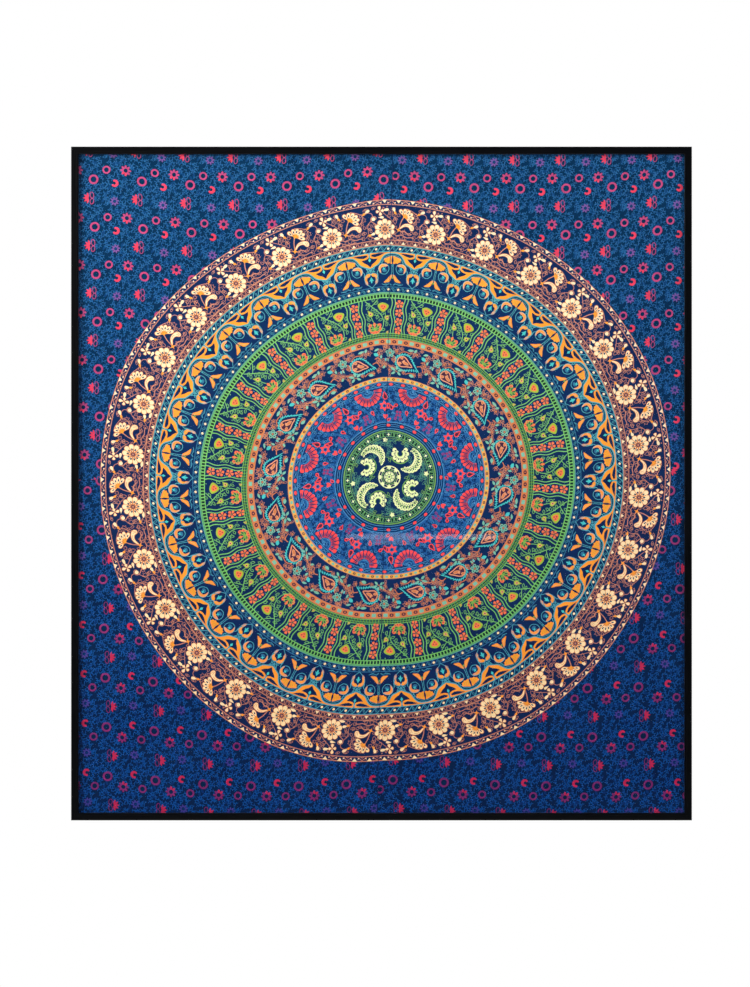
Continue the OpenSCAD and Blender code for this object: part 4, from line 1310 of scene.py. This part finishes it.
finishes = {                 # start of a node's name: its finish; the longer starts come first
    "frame_rail_top": blackLacquer("blackLacquer_acrossRails", "X"),
    "frame_rail_left": blackLacquer("blackLacquer_uprightRails", "Z"),
    "corner_plate_screws": metal("screwSteel_zinc", "#b9bcc0", "#85888d", 0.3),
    "corner_plate": metal("mildSteel_zincPlated", "#c3c6ca", "#94989e", 0.34, None, 0.5, 3),
    "glazing": clearAcrylic(),
    "spacer": moulded("styrene_extrudedBlack", "#0d0e10", 0.45, 1.2, 0.02),
    "cloth_staples": metal("stapleWire_galvanised", "#b4b7ba", "#8a8d90", 0.35),
    "mount_board": fibreBoard("mountBoard_paperFaced", "#ece7da", "#d9d2c0", 1.2, 0.85, 0.04),
    "strainer_left": wood("pine_sawnUpright", "#dcb987", "#b98d57", "Z", 5),
    "strainer_top": wood("pine_sawnAcross", "#dcb987", "#b98d57", "X", 5),
    "crossbar": wood("pine_sawnCrossbar", "#d8b380", "#b48650", "X", 5),
    "panel_screws": metal("screwSteel_yellowZinc", "#c8b27a", "#9c8850", 0.3),
    "packing_strip_screws": metal("screwSteel_brassed", "#c9ad6a", "#97803f", 0.3),
    "packing_strip": wood("birchPly_strip", "#d9bd92", "#b9966a", "X", 4, 0.55, 1.4),
    "backing_board": fibreBoard("hardboard_smoothFace", "#7d5a3c", "#5f4129", 2.2, 0.62, 0.06),
    "turn_button_screws": metal("screwSteel_panHead", "#c0c2c4", "#8d9094", 0.28),
    "turn_button": metal("brass_stamped", "#c9a24e", "#9a7834", 0.3, None, 0.6, 2),
    "frame_cleat_screws": metal("screwSteel_cleat", "#b9bcc0", "#85888d", 0.3),
    "frame_cleat": metal("aluminium_millFinish", "#cfd2d5", "#a9adb1", 0.36, "X", 0.3, 1.5),
    "wall_cleat": metal("aluminium_millFinishWall", "#cfd2d5", "#a9adb1", 0.36, "X", 0.3, 1.5),
    "bumper": moulded("rubber_feltGrey", "#34363a", 0.8, 0.9, 0.08),
}
sameAs = {"frame_rail_bottom": "frame_rail_top", "frame_rail_right": "frame_rail_left",
          "strainer_right": "strainer_left", "strainer_bottom": "strainer_top"}

for name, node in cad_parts.items():
    if name.startswith(("cloth_left", "cloth_right", "centre_seam")):
        continue
    key = next((k for k in [sameAs.get(name, name)] + sorted(finishes, key=len, reverse=True)
                if k in finishes and (sameAs.get(name, name) == k or name.startswith(k))), None)
    if key is None:
        print("no finish for", name)
        continue
    if not node.material_slots:
        node.data.materials.append(finishes[key])
    for materialSlot in node.material_slots:
        materialSlot.material = finishes[key]
print("finishes given to the frame's own parts")


def makeFloor():
    # pale studio floor well under the hanging, with nothing behind it so that the back can be seen
    ground = bmesh.new()
    bmesh.ops.create_grid(ground, x_segments=4, y_segments=4, size=2.0)
    bmesh.ops.translate(ground, verts=ground.verts[:], vec=(0, -1.0, panelBottom - 0.95))
    material, tree, shader, place = newMaterial("paintedFloor_matt")
    colour = mixColours(tree, spread(tree, speckle(tree, place, 260), 0, 1), linear("#f4f4f3"),
                        linear("#eeeeec"))
    tree.links.new(colour, shader.inputs["Base Color"])
    shader.inputs["Roughness"].default_value = 0.85
    meshObject(ground, "floor", material)


def addLight(name, place, target, size, power, colour="#ffffff", height=None):
    lamp = bpy.data.lights.new(name, "AREA")
    lamp.shape = "RECTANGLE"
    lamp.size, lamp.size_y = size, height or size
    lamp.energy = power
    lamp.color = linear(colour)[:3]
    light = bpy.data.objects.new(name, lamp)
    bpy.context.collection.objects.link(light)
    light.location = place
    light.rotation_euler = (Vector(target) - Vector(place)).to_track_quat("-Z", "Y").to_euler()
    return light


makeFloor()
aim = (middle.x, 0, middle.z)
lamps = (             # name, place, target, size, power, colour
    ("key_left", (-4.4, -3.4, 0.6), aim, 2.4, 230, "#fffaf4"),
    ("fill_right", (4.6, -3.2, -0.6), aim, 2.4, 105, "#f4f8ff"),
    ("over", (-0.4, -3.4, 3.2), (0, 0, -0.6), 2.4, 75),
    ("rear_left", (-3.2, 3.6, 0.8), aim, 2.4, 130),
    ("rear_right", (3.4, 3.2, 0.2), aim, 2.0, 65),
)
for lamp in lamps:
    addLight(*lamp)
# a lit slit behind the viewer, seen mirrored in the glazing as a thin streak
streakPower = 0.15
for name, x, z, long, tall, share in (("streak", 0.208, -1.295, 0.76, 0.026, 1.2),
        ("streak_glow", 0.06, -1.305, 0.24, 0.06, 0.5)):
    light = addLight(name, (x, -3.0, z), (x, 0, z), long, streakPower * share, "#dfeeff", tall)
    light.visible_camera = False
    light.visible_diffuse = False
    light.visible_transmission = False

world = bpy.data.worlds.new("studio")
bpy.context.scene.world = world
world.use_nodes = True
sky = world.node_tree
sky.nodes.clear()
seen = addNode(sky, "ShaderNodeLightPath")
ambient = addNode(sky, "ShaderNodeBackground", {"Color": (0.95, 0.97, 1, 1), "Strength": 0.2})
mirror = addNode(sky, "ShaderNodeBackground", {"Color": (0.55, 0.75, 1, 1), "Strength": 0.05})
white = addNode(sky, "ShaderNodeBackground", {"Color": (1, 1, 1, 1), "Strength": 1.0})
lit = addNode(sky, "ShaderNodeMixShader", {0: seen.outputs["Is Glossy Ray"], 1: ambient.outputs[0],
    2: mirror.outputs[0]})
shown = addNode(sky, "ShaderNodeMixShader", {0: seen.outputs["Is Camera Ray"], 1: lit.outputs[0],
    2: white.outputs[0]})
addNode(sky, "ShaderNodeOutputWorld", {"Surface": shown.outputs[0]})
bpy.context.scene.view_settings.view_transform = "Standard"
bpy.context.scene.view_settings.look = "None"
